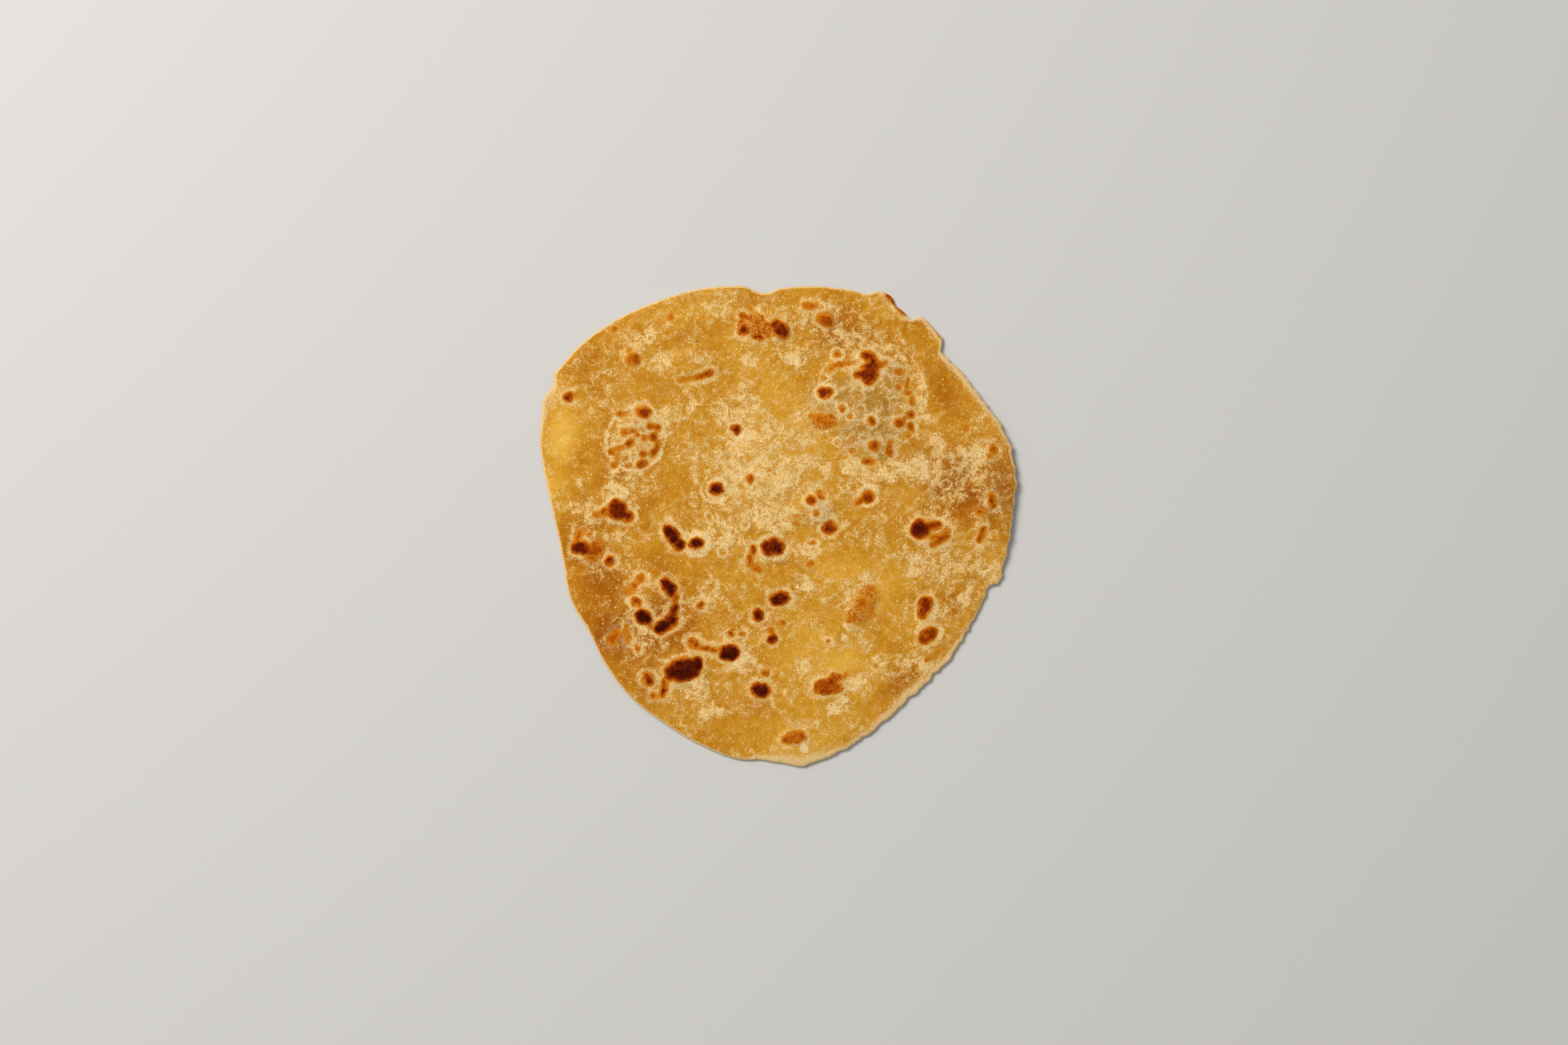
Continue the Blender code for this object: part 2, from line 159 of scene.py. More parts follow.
# Browned spots: X, Y, length, width, heat from 0 (pale) to 1 (charred), tilt.
SPOTS_LEFT = (
    (-75, 45.2, 3.2, 3.2, 0.8), (-72.6, 45.6, 2, 1, 0.35), (-53.2, 62.1, 1.2, 1.2, 0.5),
    (-51.7, 58.7, 4.8, 4, 0.5), (-58.7, 69.7, 1.8, 1.2, 0.4, 30), (-38.2, 74.2, 3, 1.5, 0.4, 60),
    (-55.5, 39, 3.6, 1.5, 0.45, 10), (-48, 39.8, 5.2, 3.8, 0.75, -10), (-45.6, 34.8, 1.8, 1.8, 0.65),
    (-42.8, 34, 2.1, 2.1, 0.75), (-59, 33.6, 1.2, 1.2, 0.35), (-55, 32.2, 2, 2, 0.6),
    (-52, 32.8, 3, 1, 0.5), (-50, 31.5, 0.8, 0.8, 0.5), (-47.3, 30.4, 1.6, 2, 0.75),
    (-44.3, 30.7, 2.8, 2, 0.8, 75), (-52.5, 28.5, 3.4, 2, 0.65, 55), (-57.5, 26, 5, 1.6, 0.5, 20),
    (-57, 23.5, 1.3, 1.3, 0.5), (-58.2, 21, 2, 1.5, 0.5), (-53, 20.6, 1.5, 1.5, 0.3),
    (-48, 24.8, 2.2, 2, 0.5), (-48.2, 21.2, 3.2, 2.2, 0.6), (-43, 27.8, 3.6, 1.8, 0.5, 75),
    (-44.3, 25.3, 3, 1.8, 0.5, 50), (-57, 4.8, 7.5, 6.5, 0.8, 90), (-54.4, 2.6, 5, 3.6, 0.75, -30),
    (-61.8, 4.2, 2.6, 2, 0.6, 20), (-64.3, 3.2, 2.4, 1.8, 0.6, 20), (-69.5, -8.8, 7.5, 4.5, 0.85, -10),
    (-67.6, -10.2, 4.4, 3, 0.8, -30), (-65.2, -9.4, 4.2, 4.4, 0.42), (-66.5, -12.5, 3, 1.5, 0.55),
    (-71, -4.5, 4, 2, 0.5, 80), (-59.8, -13.3, 3, 2.6, 0.7), (-37.8, -4.2, 8.4, 4, 0.95, -57),
    (-35.2, -7.4, 4.6, 4, 0.95, -30), (-38.6, -23, 7, 4, 1, -60), (-48.8, -19.6, 2.6, 2.2, 0.62),
    (-51.4, -22.6, 4, 1.3, 0.48, 55), (-53.6, -24.4, 2, 1.6, 0.46), (-50.3, -28, 3.5, 1.8, 0.6, -35),
)
SPOTS_MIDDLE = (
    (-21.8, 12.4, 4.8, 4.4, 0.95), (-10, 16, 2.6, 2.6, 0.6), (-3.2, 19, 1.2, 1.2, 0.4),
    (-6.3, 14.5, 0.8, 0.8, 0.3), (-18.2, 4, 1.2, 1.2, 0.2), (-28.8, -7.3, 4.8, 3.8, 0.9),
    (-1.7, -8.4, 8.6, 5.4, 0.88, 8), (-8.8, -9.5, 3, 1.6, 0.85, 90), (-9.8, -13.3, 4, 1.6, 0.7, 80),
    (-7.5, -16, 4, 1.8, 0.45, -30), (0.5, -26.8, 6.6, 4.3, 0.9, 15), (12, 8.3, 3, 2.2, 0.6, -45),
    (15.2, 10.2, 3.2, 1.4, 0.5, -45), (13.6, 3.8, 1.9, 1.6, 0.5, 90), (6.7, 2.6, 3, 1, 0.3),
    (6.5, -0.2, 1.8, 1.4, 0.4), (18.7, -1.5, 4.8, 4.2, 0.75), (12.5, -7, 3, 1.6, 0.2),
    (11.6, -14.6, 2.4, 2, 0.45), (26.7, 26.2, 2, 1.5, 0.35), (21.3, 29, 1.2, 1.2, 0.2),
    (-27.3, -28.8, 3, 1.5, 0.6, 60), (-15, 33.7, 2.8, 3, 0.85),
)
SPOTS_BACK = (
    (-12.5, 74.3, 1.8, 1.8, 0.65), (-12.3, 69.2, 3.2, 3.2, 0.8), (-7, 66.6, 3.4, 1.8, 0.8),
    (0.8, 69.6, 8.2, 4.6, 0.74, -48), (11.3, 78, 3.6, 2, 0.52), (13.7, 78.7, 1.4, 1.4, 0.6),
    (17.2, 73.2, 6.4, 4.6, 0.52, -20), (21.4, 60.5, 1.8, 1.8, 0.45), (25, 61.3, 1, 1, 0.25),
    (23.3, 57, 6.5, 1.4, 0.45, 5), (19.2, 55.6, 2.5, 1.4, 0.4, 40), (16.7, 52, 0.9, 0.9, 0.4),
    (17, 46.6, 4.2, 3.7, 0.74), (23, 41, 1.7, 1.7, 0.5), (25.8, 38, 1.2, 1.2, 0.4),
    (14, 37.6, 4.6, 2.4, 0.48, -20), (18, 35.8, 4, 1.6, 0.46, -10), (17.6, 38.2, 2.2, 1.2, 0.42, 10),
)
SPOTS_RIGHT = (
    (32.6, 59.8, 4.8, 3.2, 0.72, -20), (34.6, 57.2, 4.6, 3.4, 0.75, -60), (37, 56.9, 3.6, 1.4, 0.6, 10),
    (32.6, 53.8, 6.6, 6.8, 0.78), (29.6, 53.2, 4, 2.6, 0.7, 10), (32.6, 51.2, 3.6, 3, 0.72, 90),
    (43.5, 54.1, 2.8, 1.5, 0.48), (46.4, 50, 3.8, 1.4, 0.4, 90), (46.4, 31, 1.4, 1.6, 0.3),
    (43, 48.6, 1.5, 1.4, 0.46), (46.2, 46.7, 2, 1.3, 0.52), (48, 43.7, 2.8, 1.4, 0.5, 90),
    (47.3, 38.8, 2.6, 2.5, 0.55), (43.5, 35.9, 3.4, 2.6, 0.62), (45, 37.2, 1.8, 0.9, 0.45, 50),
    (47.6, 34.1, 3.6, 1.9, 0.6, 110), (33.3, 36.3, 2.6, 2.2, 0.55, 90), (67, 34, 2.2, 2.2, 0.35),
    (34.3, 27.5, 3.8, 3.2, 0.6), (39.8, 27.5, 4, 1.5, 0.5, 75), (40, 25.3, 2, 1.8, 0.55),
    (32.2, 22, 4, 1.9, 0.55), (32, 9.5, 4.6, 4, 0.65, 30), (28.8, 7.8, 3, 2, 0.5, 30),
    (76.8, 26.4, 3.4, 1.5, 0.55, 110), (75.5, 24, 1.5, 1.5, 0.35), (59.7, 13.5, 1.6, 1.6, 0.25),
    (76.3, 8.3, 5, 2, 0.6, 100), (72, 4, 3, 2, 0.45), (72.3, -4.2, 5, 1.8, 0.6, 80),
    (50.8, -2.1, 6.8, 6.4, 0.92, 90), (55, -0.9, 6, 3.2, 0.7, 6), (57.9, -6, 6.6, 1.8, 0.64, 30),
    (57.2, -5, 7.4, 1.3, 0.52), (60, -3, 2.8, 1.9, 0.45), (52.3, -30, 8, 4.2, 0.7, 75),
    (53.3, -39.8, 6.8, 4.6, 0.64, 35), (53.5, -48.2, 2.4, 1.4, 0.45, 40), (56.8, -46, 6.5, 0.9, 0.35, 40),
    (34.8, -50.8, 1, 1, 0.3), (18, -42, 0.9, 0.9, 0.45),
)
SPOTS_FRONT = (
    (-47.5, -33.2, 5.8, 4.6, 1, -35), (-40.8, -36.7, 7, 4, 1, 22), (-37.6, -34.6, 4.6, 4, 1, 50),
    (-37, -32, 7, 2.6, 0.9, 70), (-36.3, -27.2, 3, 0.9, 0.6, 70), (-45.2, -36, 2.4, 1, 0.7, -50),
    (-58, -40.4, 5.4, 3.2, 0.52, 55), (-53.8, -38, 3.4, 1.3, 0.55, 80), (-53, -41, 2.4, 0.8, 0.6, 90),
    (-49.6, -44.3, 1.5, 1.2, 0.68, 90), (-29.5, -43, 5, 3, 0.6, -25), (-23.5, -44.7, 7.5, 1.2, 0.7, -6),
    (-17.2, -46, 7, 5.5, 1), (-33.4, -52, 13, 8, 1, 12), (-29.6, -50.2, 5.6, 4.8, 1, 30),
    (-37, -54.3, 5.6, 3.4, 0.8, 10), (-45.7, -55, 4.6, 3, 0.75, -60), (-40.2, -58.5, 6.5, 2, 0.75, 80),
    (-44.2, -61, 1.4, 1.4, 0.7), (-42, -61.3, 0.8, 0.8, 0.5), (-7, -32.6, 4, 3, 0.9, 90),
    (-16.7, -39.3, 1.6, 1.4, 0.65, 90), (-15.7, -37, 2, 0.9, 0.3, 90), (-12.8, -39.3, 1.4, 1, 0.65),
    (-2, -41, 3.2, 3, 0.9), (-2.4, -38.3, 2, 1.5, 0.5), (1.6, -35.6, 2, 1.6, 0.4),
    (-4.3, -53.2, 2.4, 2, 0.5), (-6, -59.3, 6.8, 4.6, 0.95, -10), (18.2, -57.8, 9, 5, 0.58),
    (20.4, -55, 3.6, 3, 0.56), (30, -28.4, 4.8, 2.4, 0.44, 70), (33, -24.2, 4.4, 2, 0.38, 40),
    (26.4, -34, 3.2, 1.6, 0.4, 20), (33.6, -32, 3, 1.2, 0.38, -40), (13.8, -59.3, 1.5, 1.5, 0.8),
    (24, -54.3, 3, 1, 0.4, 60), (3, -77, 2.6, 2.2, 0.75), (5.7, -75.5, 4, 3.6, 0.5),
    (8.3, -75, 2.4, 2.6, 0.65),
)
SPOTS = SPOTS_LEFT + SPOTS_MIDDLE + SPOTS_BACK + SPOTS_RIGHT + SPOTS_FRONT
# Speckled, lightly toasted patches: X, Y, length, width, heat, tilt.
TOASTED = (
    (-9.2, 71, 11, 9, 0.42), (-3, 69, 6, 5, 0.4, -20), (31, -28.8, 13, 8, 0.29, 65),
    (32.4, -25.2, 8, 7.4, 0.29), (29.6, -32.4, 11, 6.6, 0.3, 10), (6, -75.8, 8.5, 5, 0.45),
    (18.2, -57.8, 10.5, 6.4, 0.47), (20.5, -54.8, 4, 3.5, 0.47), (-68, -3, 5.5, 4.5, 0.3),
    (16.5, 36.4, 11, 6, 0.4, -8), (-64, -9, 6.5, 6.5, 0.36), (-52.5, -23.5, 6, 5, 0.2, 60),
    (57.6, -4.4, 6.5, 2.6, 0.34, 25), (26.5, 29.5, 5, 3, 0.28, 40),
)
# Scorched lines on the rim: start X, Y, end X, Y, width, heat.
SCORCHED_LINES = (
    (39.5, 82.2, 45.5, 76, 1.4, 0.75), (56, 71, 58.5, 66, 0.7, 0.4), (-35, 51.3, -29, 52, 1.1, 0.5),
    (-29, 52, -24.3, 53.8, 1.6, 0.6),
)
# What bends the outlines of spots: reach, size, noise layer.
SPOT_BENDS = ((0.55, 2.4, "short"), (0.5, 6.0, "long"))
SPOT_BLEND = 0.35
SPOT_REACH = 8.0

# Flour on the skin, by the softness of its edge (0 to 1): X, Y, half length, half width, strength, tilt.
FLOURED = {
    0.08: ((33, 45, 23, 21.5, 0.4, 80),),
    0.2: ((-50.5, 30, 11, 12, 0.48),),
    0.3: ((-28.8, -7.3, 5.6, 5.2, 0.7), (-43, -27, 9, 9, 0.45)),
    0.4: ((66, 18, 17, 16, 0.53), (43.9, -8.1, 3.4, 4.4, 1, 20), (16.5, 75.5, 9, 7, 0.5)),
    0.5: (
        (-5, 22, 25, 20, 0.75), (57, 29.7, 5, 4, 0.9), (69.6, 21.8, 6, 6, 0.95), (49.8, 19.4, 9, 7, 0.85),
        (41, 18.6, 7, 6, 0.8), (26.9, 20.2, 7, 5, 0.7), (55, -15, 13, 8, 0.58, -10),
        (68, -14.5, 8, 7, 0.5), (67.3, -26.3, 5, 4, 0.75, 30), (6.3, 59, 6.5, 4, 0.9),
        (24.5, 77.2, 6, 4, 0.36), (24.5, 66, 11, 5, 0.62), (30, 72, 4, 3.5, 0.5),
        (38, 65, 8, 3.5, 0.24, -25), (-54, 17.8, 9, 3.4, 0.8), (-57.9, 10.7, 6.5, 6, 0.85),
        (-71.4, 15.4, 2.4, 3.4, 0.95, 20), (-65, -18.4, 5, 5, 1.1), (-47.6, -41.4, 7, 7, 0.5),
        (-28.6, -58.8, 8, 6.5, 0.8), (-22.3, -67.8, 9, 3.4, 0.95, -5), (9.4, -21.6, 6, 3.6, 0.95),
        (12.6, -8.9, 6, 4.6, 0.85), (47.5, -16.8, 5, 4, 0.8), (55.4, -35.8, 7, 10, 0.7),
        (45, -48.5, 7, 3.6, 0.8, 20), (52.2, -50.9, 5, 3.6, 0.8, 30), (29.2, -57.2, 9, 5.6, 0.75),
        (22.1, -65.2, 7, 4.4, 0.95, 10), (29, -22, 12, 8, 0.5, 60), (60, 1, 6, 5, 0.68),
        (51.6, 46, 14, 3.2, 0.66, 96), (77, -18, 7, 8, 0.55),
    ),
    0.6: (
        (-14, 40, 16, 10, 0.65, 10), (-2, 3, 16, 10, 0.74), (-18, -4, 12, 9, 0.6), (14, 4, 11, 9, 0.6),
        (7, 31, 12, 7, 0.6), (-41.3, 58.2, 6, 5, 0.75), (-47.6, 66.1, 7, 5, 0.7, 30),
        (-20.7, 78.8, 11, 3.5, 0.6, 10), (-28, 59, 9, 4, 0.5), (-10.4, 59, 5, 4, 0.65),
        (-30.2, 41.6, 3, 4, 0.8), (-66, 4, 6, 5, 0.6), (-50, 5.9, 5, 6, 0.6), (-40.5, 35.6, 5, 10, 0.65),
        (-72.2, 5.1, 4, 3.5, 0.6), (-57.9, -4.9, 6, 4, 0.7), (-68, -2.6, 5, 4, 0.6),
        (-24.6, -24.8, 9, 9, 0.5), (-54, -31, 4.4, 10, 0.9), (-12.8, -49.3, 9, 6, 0.7),
        (-4.8, -22.4, 6, 6, 0.5), (-16, 4, 9, 7, 0.62), (8.6, -50.1, 5.5, 5, 0.7),
        (23.7, -39, 3.6, 5, 0.75), (17.4, -43, 5, 4, 0.7), (36.4, -47.7, 6, 4, 0.55, 40),
        (5.5, -60.4, 5, 4, 0.5), (3.9, -71.5, 8, 3, 0.55), (10, 18, 14, 12, 0.6),
        (-33, -44, 12, 5, 0.35, -15), (30, 14, 12, 8, 0.55), (10, 40, 9, 7, 0.55),
    ),
    0.7: ((-60.3, 42.4, 6, 4, 0.4), (-76.1, 9.9, 4, 5, 0.45), (-30, 22, 12, 12, 0.5)),
    0.8: ((9.6, -79.8, 2.4, 1.8, 1.8),),
}
FLOUR_BASE = 0.27
FLOUR_CLEARED = 0.10
FLOUR_PATCHINESS = 0.22
FLOUR_PATCH = 8.0
FLOUR_BEND = 1.6
FLOUR_BEND_WAVE = 5.0
# Bare skin without flour: X, Y, half length, half width, how bare, tilt.
BARE = (
    (40.5, -28, 6, 23, 1, -8), (60, 48, 10, 20, 1, 18), (-63, -28, 12, 18, 1, 25), (-41.5, -13, 12, 8, 1),
    (-74, 26, 10, 18, 0.9), (-45, 49, 10, 7, 0.9), (-37, 16, 8, 10, 0.9), (1, 48, 12, 10, 0.7),
    (-11, 22.5, 3.5, 2.5, 0.8), (4.5, 27, 6, 4, 0.8), (12, 16.5, 5, 4, 0.8), (-15, -17, 13, 5, 1),
    (3, -38, 9, 9, 0.5), (23, -14, 13, 7, 1), (-10, -74, 24, 8, 1), (25, -48.5, 10, 5, 0.9),
    (34, -62, 12, 7, 0.9, 25), (-21, 66, 11, 5, 0.7), (-55, -56, 12, 7, 1, -50), (-66, 22, 6, 9, 0.8),
    (44, -5, 7, 6, 0.8), (50, 70, 11, 8, 1, -45), (-43, -26, 6, 5, 0.8), (9, -65, 9, 5, 0.7),
    (-64, 12, 5, 4, 0.6), (-38, -46, 5, 4, 0.7), (-16, -55, 6, 4, 0.6), (68, 4, 8, 6, 0.8),
    (-8, -28, 8, 6, 0.7), (-44, 5, 7, 8, 0.7), (80, 12, 7, 22, 0.4), (-79, -8, 8, 16, 1),
    (-50, -60, 16, 8, 0.8, -40), (-34, -19, 12, 9, 0.9), (0, -19, 10, 6, 0.9), (0, -45, 11, 9, 0.9),
    (43, -42, 8, 10, 0.8), (-64, -43, 10, 12, 1, 30), (12, 84, 26, 6, 0.8), (62, 34, 8, 8, 0.6),
    (41, 71, 9, 6, 0.7),
)
BARE_STRENGTH = 0.7
BARE_SOFTNESS = 0.5
# Skin that is yellower (above 0) or darker (below 0): X, Y, half length, half width, change, tilt.
TONED = (
    (-77, 29, 11, 13, 1), (-80, 14, 8, 12, 0.7, 15), (-78, -4, 9, 16, -0.2), (-61, -40, 16, 15, -0.9, -60),
    (-61, -21, 13, 11, -0.6), (-64, -30, 15, 20, -0.35, 20), (-50, -56, 18, 12, -0.45, -50),
    (-68, -8, 18, 28, -0.6), (-68, 58, 14, 9, -0.45, 45), (-70.6, 24, 7, 8, -0.4), (-66, 50, 8, 8, -0.3),
    (-16, -76, 20, 9, -0.2, 5), (-41.3, -13.7, 10, 8, -0.35), (-46, 8, 8, 14, -0.25),
    (60, 48, 9, 20, -0.65, 15), (48, 72, 12, 8, -0.35, -50), (0, 47, 13, 11, 0.15),
    (-14, -16, 12, 10, 0.2), (21, -14, 14, 10, 0.1), (39, -20, 12, 20, 0.4), (42.7, -56, 16, 7, -0.6, 35),
    (61.7, -27.9, 7, 8, -0.6), (24.5, -49, 10, 6, 0.2), (10, -35.8, 16, 14, 0.3), (8, -76, 34, 18, 0.5),
    (-30, 76, 24, 12, 0.35, 15), (-78, 42, 12, 16, 0.6), (69, 6, 10, 11, -0.65), (68.9, 10.7, 5, 5, -0.5),
    (-10, 80, 26, 5, -0.3), (35, 76, 14, 6, 0.4, -15), (42, 60, 12, 9, -0.3, -40),
    (-30, 70, 26, 8, -0.3, 15), (80, -18, 10, 12, 0.5), (79, 12, 12, 26, -0.95), (58, 8, 16, 20, -0.4),
    (-57, 22, 12, 16, -0.5), (-5, -66, 14, 6, -0.3), (10, -70, 16, 6, -0.15, 10), (-42, -36, 24, 28, -0.8),
    (62, 18, 16, 20, -0.5), (24, 70, 24, 16, -0.6), (22, -18, 18, 14, 0.5), (0, 26, 38, 34, 0.5),
    (18, -50, 28, 24, 0.55), (-12, 58, 26, 16, 0.2),
)
TONE_WAVES = ((0.18, 14.0, "tone"), (0.14, 5.0, "fine tone"))
# Patches where the skin cooked through to a greyish olive, and a painted shadow below the big blister: X,
# Y, half length, half width, strength, tilt.
GREYED_AND_SHADOWED = (
    (35, 44, 15, 13, 0.85, 60), (20, 46, 13, 12, 0.85), (38, 53, 12, 10, 0.8), (31, 33, 17, 10, 0.85),
    (37, 26, 11, 7, 0.8), (15.5, 4, 7, 6.5, 0.8), (-48, 33, 8, 8, 0.7), (-43, -28, 6, 6, 0.4),
    (-26, 57, 8, 4, 0.4), (-42.9, 48.7, 10, 8, 0.3), (9, 73, 5, 4, 0.35), (31, -36, 8, 4, 0.4),
    (16, -60, 10, 3, 0.3), (6, 27, 8, 7, 0.4), (-19, 22, 7, 6, 0.35), (10, 18, 8, 6, 0.35),
    # The row at 2, -13.6 is a painted shadow below the big blister.
    (-14, 6, 7, 5, 0.3), (2, -13.6, 5, 1.8, 0.9, 10), (48, -6, 5, 2.4, 0.5, -30), (-19, -13, 9, 6, 0.3),
    (66, 26, 10, 5, 0.35), (0, 14, 28, 26, 0.24), (79, 12, 9, 20, 0.45), (58, 20, 24, 16, 0.45),
    (56, -14, 18, 12, 0.35), (24, 66, 18, 8, 0.25),
)
GREYED_SOFTNESS = 0.7
# Where the rim stayed pale: direction, half width in degrees, width of the pale band.
PALE_RIM_WIDTH = 0.8
PALE_RIM = ((40, 34, 2.8), (152, 9, 3), (275, 16, 4.2), (308, 32, 3.6), (95, 30, 1))
# Charred bran: X, Y, radius.
BLACK_FLECKS = (
    (-29, 65.2, 0.36), (-54, 64, 0.2), (-50, 50, 0.16), (-33, 64.5, 0.18), (-13.5, 8.2, 0.2),
    (-7.6, 9.2, 0.18), (8.6, -4.8, 0.16), (-82, 44, 0.16), (-78, 12, 0.18), (22.7, 82, 0.16),
    (26, -19, 0.14), (39.5, 12, 0.15), (-8, 48, 0.14), (-63, 26.5, 0.14), (73, 17.5, 0.16),
)

# The underside has spots of its own, drawn by a seeded rule.
UNDER_SEED = 31
UNDER_SPOTS = 150
UNDER_TOASTED = 22
UNDER_SPREAD = 80.0
UNDER_SMALLEST = 0.9
UNDER_GROWTH = 5.5
UNDER_RARITY = 2.2
UNDER_HEAT = 0.35
UNDER_HEAT_GAIN = 0.11
UNDER_HEAT_SPREAD = 0.1
UNDER_COOLEST = 0.3
UNDER_SLIMNESS = (0.45, 0.95)
UNDER_TOASTED_LENGTH = (7.0, 13.0)
UNDER_TOASTED_HEAT = (0.3, 0.45)
UNDER_FLOUR = 0.45
UNDER_FLOUR_CHANGE = 0.35
UNDER_FLOUR_WAVE = 17.0
UNDER_TONE = -0.2
UNDER_TONE_CHANGE = 0.6
UNDER_TONE_WAVE = 30.0

# ---------------------------------------------------------------- fineness of the skin's mesh
UPPER_RINGS = 136
LOWER_RINGS = 68
EDGE_RINGS = 5
LOWER_EDGE_RINGS = 3

# ---------------------------------------------------------------- colours, from 0 to 255 as on a screen
SKIN_TONES = (
    (0.0, (158, 78, 4)), (0.22, (182, 107, 14)), (0.42, (203, 135, 29)), (0.58, (217, 154, 43)),
    (0.78, (237, 178, 65)), (1.0, (248, 202, 98)),
)
# Greyish olive of skin cooked through, also the colour of a painted shadow below the big blister.
OLIVE_AND_SHADOW_SKIN = (164, 121, 52)
# Clumped flour, from painted shade in its crevices through its own cream to painted highlights on its
# brightest grains.
FLOUR_SHADE_TO_HIGHLIGHT_TONES = (
    (0.0, (144, 90, 24)), (0.25, (210, 152, 66)), (0.5, (243, 192, 109)), (0.75, (255, 221, 152)),
    (1.0, (255, 248, 208)),
)
# Olive over floured skin in the same zones, the painted shadow below the big blister among them.
OLIVE_AND_SHADOW_FLOUR = (206, 168, 118)
FLOUR_FILM = (226, 172, 80)
FLOUR_LINES = (246, 210, 146)
# Painted highlights: bright flecks that stand in for glints on flour grains.
FLOUR_HIGHLIGHTS = (255, 226, 168)
# Painted shade in the crevices between flour grains.
CREVICE_SHADE = (158, 104, 38)
# Pale bubble rims, and the painted highlight along the big blister's lower edge.
BUBBLE_RIMS_AND_HIGHLIGHT = (248, 214, 148)
# Painted glints: pale dots that stand in for tiny highlights on the oily skin.
PAINTED_GLINTS = (248, 210, 142)
PALE_EDGE = (243, 208, 146)
SPOT_GLOW = (220, 142, 36)
BROWN_TONES = (
    (0.0, (226, 158, 52)), (0.2, (214, 132, 26)), (0.36, (200, 106, 10)), (0.5, (176, 80, 5)),
    (0.66, (144, 52, 3)), (0.82, (108, 29, 1)), (1.0, (64, 13, 1)),
)
GRAIN_TONES = ((0.2, (224, 182, 116)), (0.8, (247, 218, 166)))
BRAN_TONES = ((0.2, (22, 14, 12)), (0.8, (62, 32, 20)))
FLOOR_COLOUR = (205, 203, 199)

# ---------------------------------------------------------------- the crust's patterns and loose grains
CLUMP_SIZE = 2.9
GRIT_SIZE = 0.48
VEIN_SIZE = 1.3
# Spacing of the painted glints, pale dots that stand in for highlights.
GLINT_SPACING = 1.1
GRAIN_DENSITY = 330000.0
GRAIN_SEED = 7
SMALLEST_GRAIN = 0.07
LARGEST_GRAIN = 0.19
GRAIN_FLATNESS = 0.6
GRAIN_SLIMNESS = 0.75
GRAIN_LEAN = 0.3
STRAY_GRAINS = 0.22
# Grains thin out between these depths outside a spot.
CLEAR_OF_SPOTS = (-0.2, -0.9)
FACING_UP = 0.5
FLECK_SEED = 3
FLECK_FLATNESS = 0.5

# ---------------------------------------------------------------- stage
CAMERA_LENS = 35.4
CAMERA_DISTANCE = 0.55
CAMERA_ELEVATION = 87.0
CAMERA_AIM = (0.0020, 0.0006, 0.001)
KEY_FROM = (-1.05, 0.88, 1.36)
KEY_SIZE = 0.95
KEY_POWER = 36.2
KEY_COLOUR = (1.0, 0.985, 0.96)
SKY_STRENGTH = 0.40
SKY_COLOUR = (0.97, 0.98, 1.0, 1.0)
FLOOR_HALF_SIDE = 2.0


# ---------------------------------------------------------------- form of the bread
def smooth_step(value):
    """0 below 0, 1 above 1, and an even curve between."""
    share = np.clip(value, 0.0, 1.0)
    return share * share * (3.0 - 2.0 * share)


def noise_at(x, y, size, layer):
    """Even-grained noise between about -1 and 1, with lumps of the given size, from a named layer."""
    height = NOISE_LAYERS[layer]
    values = [noise.noise(Vector((u, v, height))) for u, v in zip(np.ravel(x) / size, np.ravel(y) / size)]
    return np.array(values).reshape(np.shape(x))


def on_circle(radius, angle):
    """X and Y of a point at a distance and direction from the middle."""
    return radius * np.cos(np.radians(angle)), radius * np.sin(np.radians(angle))


def turned_by(angle, direction):
    """Degrees from a direction, between -180 and 180."""
    return (angle - direction + 180.0) % 360.0 - 180.0


def rim_radius(angle):
    """Distance of the rim from the middle in a direction, as a smooth curve through the named radii."""
    place = (angle % 360.0) / RIM_STEP
    first = np.floor(place).astype(int)
    t = place - first
    before, here, after, beyond = (np.take(RIM_RADII, first + k, mode="wrap") for k in (-1, 0, 1, 2))
    bend = 2 * before - 5 * here + 4 * after - beyond + t * (3 * (here - after) + beyond - before)
    radius = here + 0.5 * t * (after - before + t * bend)
    for direction, half_width, reach, squareness in RIM_DETAILS:
        apart = np.abs(turned_by(angle, direction)) / half_width
        radius = radius + reach * np.exp(-(apart**squareness))
    return radius + crumbled_edge(angle, radius)


def crumbled_edge(angle, radius):
    """How far crumbs stand out of the rim, strongest along its torn stretch."""
    turned = turned_by(angle, 0.0)
    torn = smooth_step((turned - CRUMBLED_FROM) / CRUMBLED_FADE)
    torn = torn * smooth_step((CRUMBLED_TO - turned) / CRUMBLED_FADE)
    x, y = on_circle(radius, angle)
    crumbs = noise_at(x, y, CRUMBLE_SIZE, "crumbs")
    crumbs = crumbs + FINE_CRUMBS * noise_at(x, y, CRUMBLE_SIZE / 3, "fine crumbs")
    return CRUMBLE_DEPTH * (CRUMBLED_ELSEWHERE + torn) * crumbs


def ovals(rows):
    """Splits each row into an oval (X, Y, length, width, tilt) and its value; a tilt left out is 0."""
    for x, y, length, width, value, *tilt in rows:
        yield (x, y, length, width, *(tilt or (0,))), value


def in_oval_axes(x, y, centre_x, centre_y, tilt):
    """Distances from an oval's middle, along it and across it."""
    along, across = on_circle(1.0, tilt)
    right, up = x - centre_x, y - centre_y
    return right * along + up * across, up * along - right * across


def oval_share(x, y, centre_x, centre_y, half_length, half_width, tilt):
    """Distance from an oval's middle, which is 1 on its outline and beyond it."""
    u, v = in_oval_axes(x, y, centre_x, centre_y, tilt)
    return np.minimum(np.hypot(u / half_length, v / half_width), 1.0)


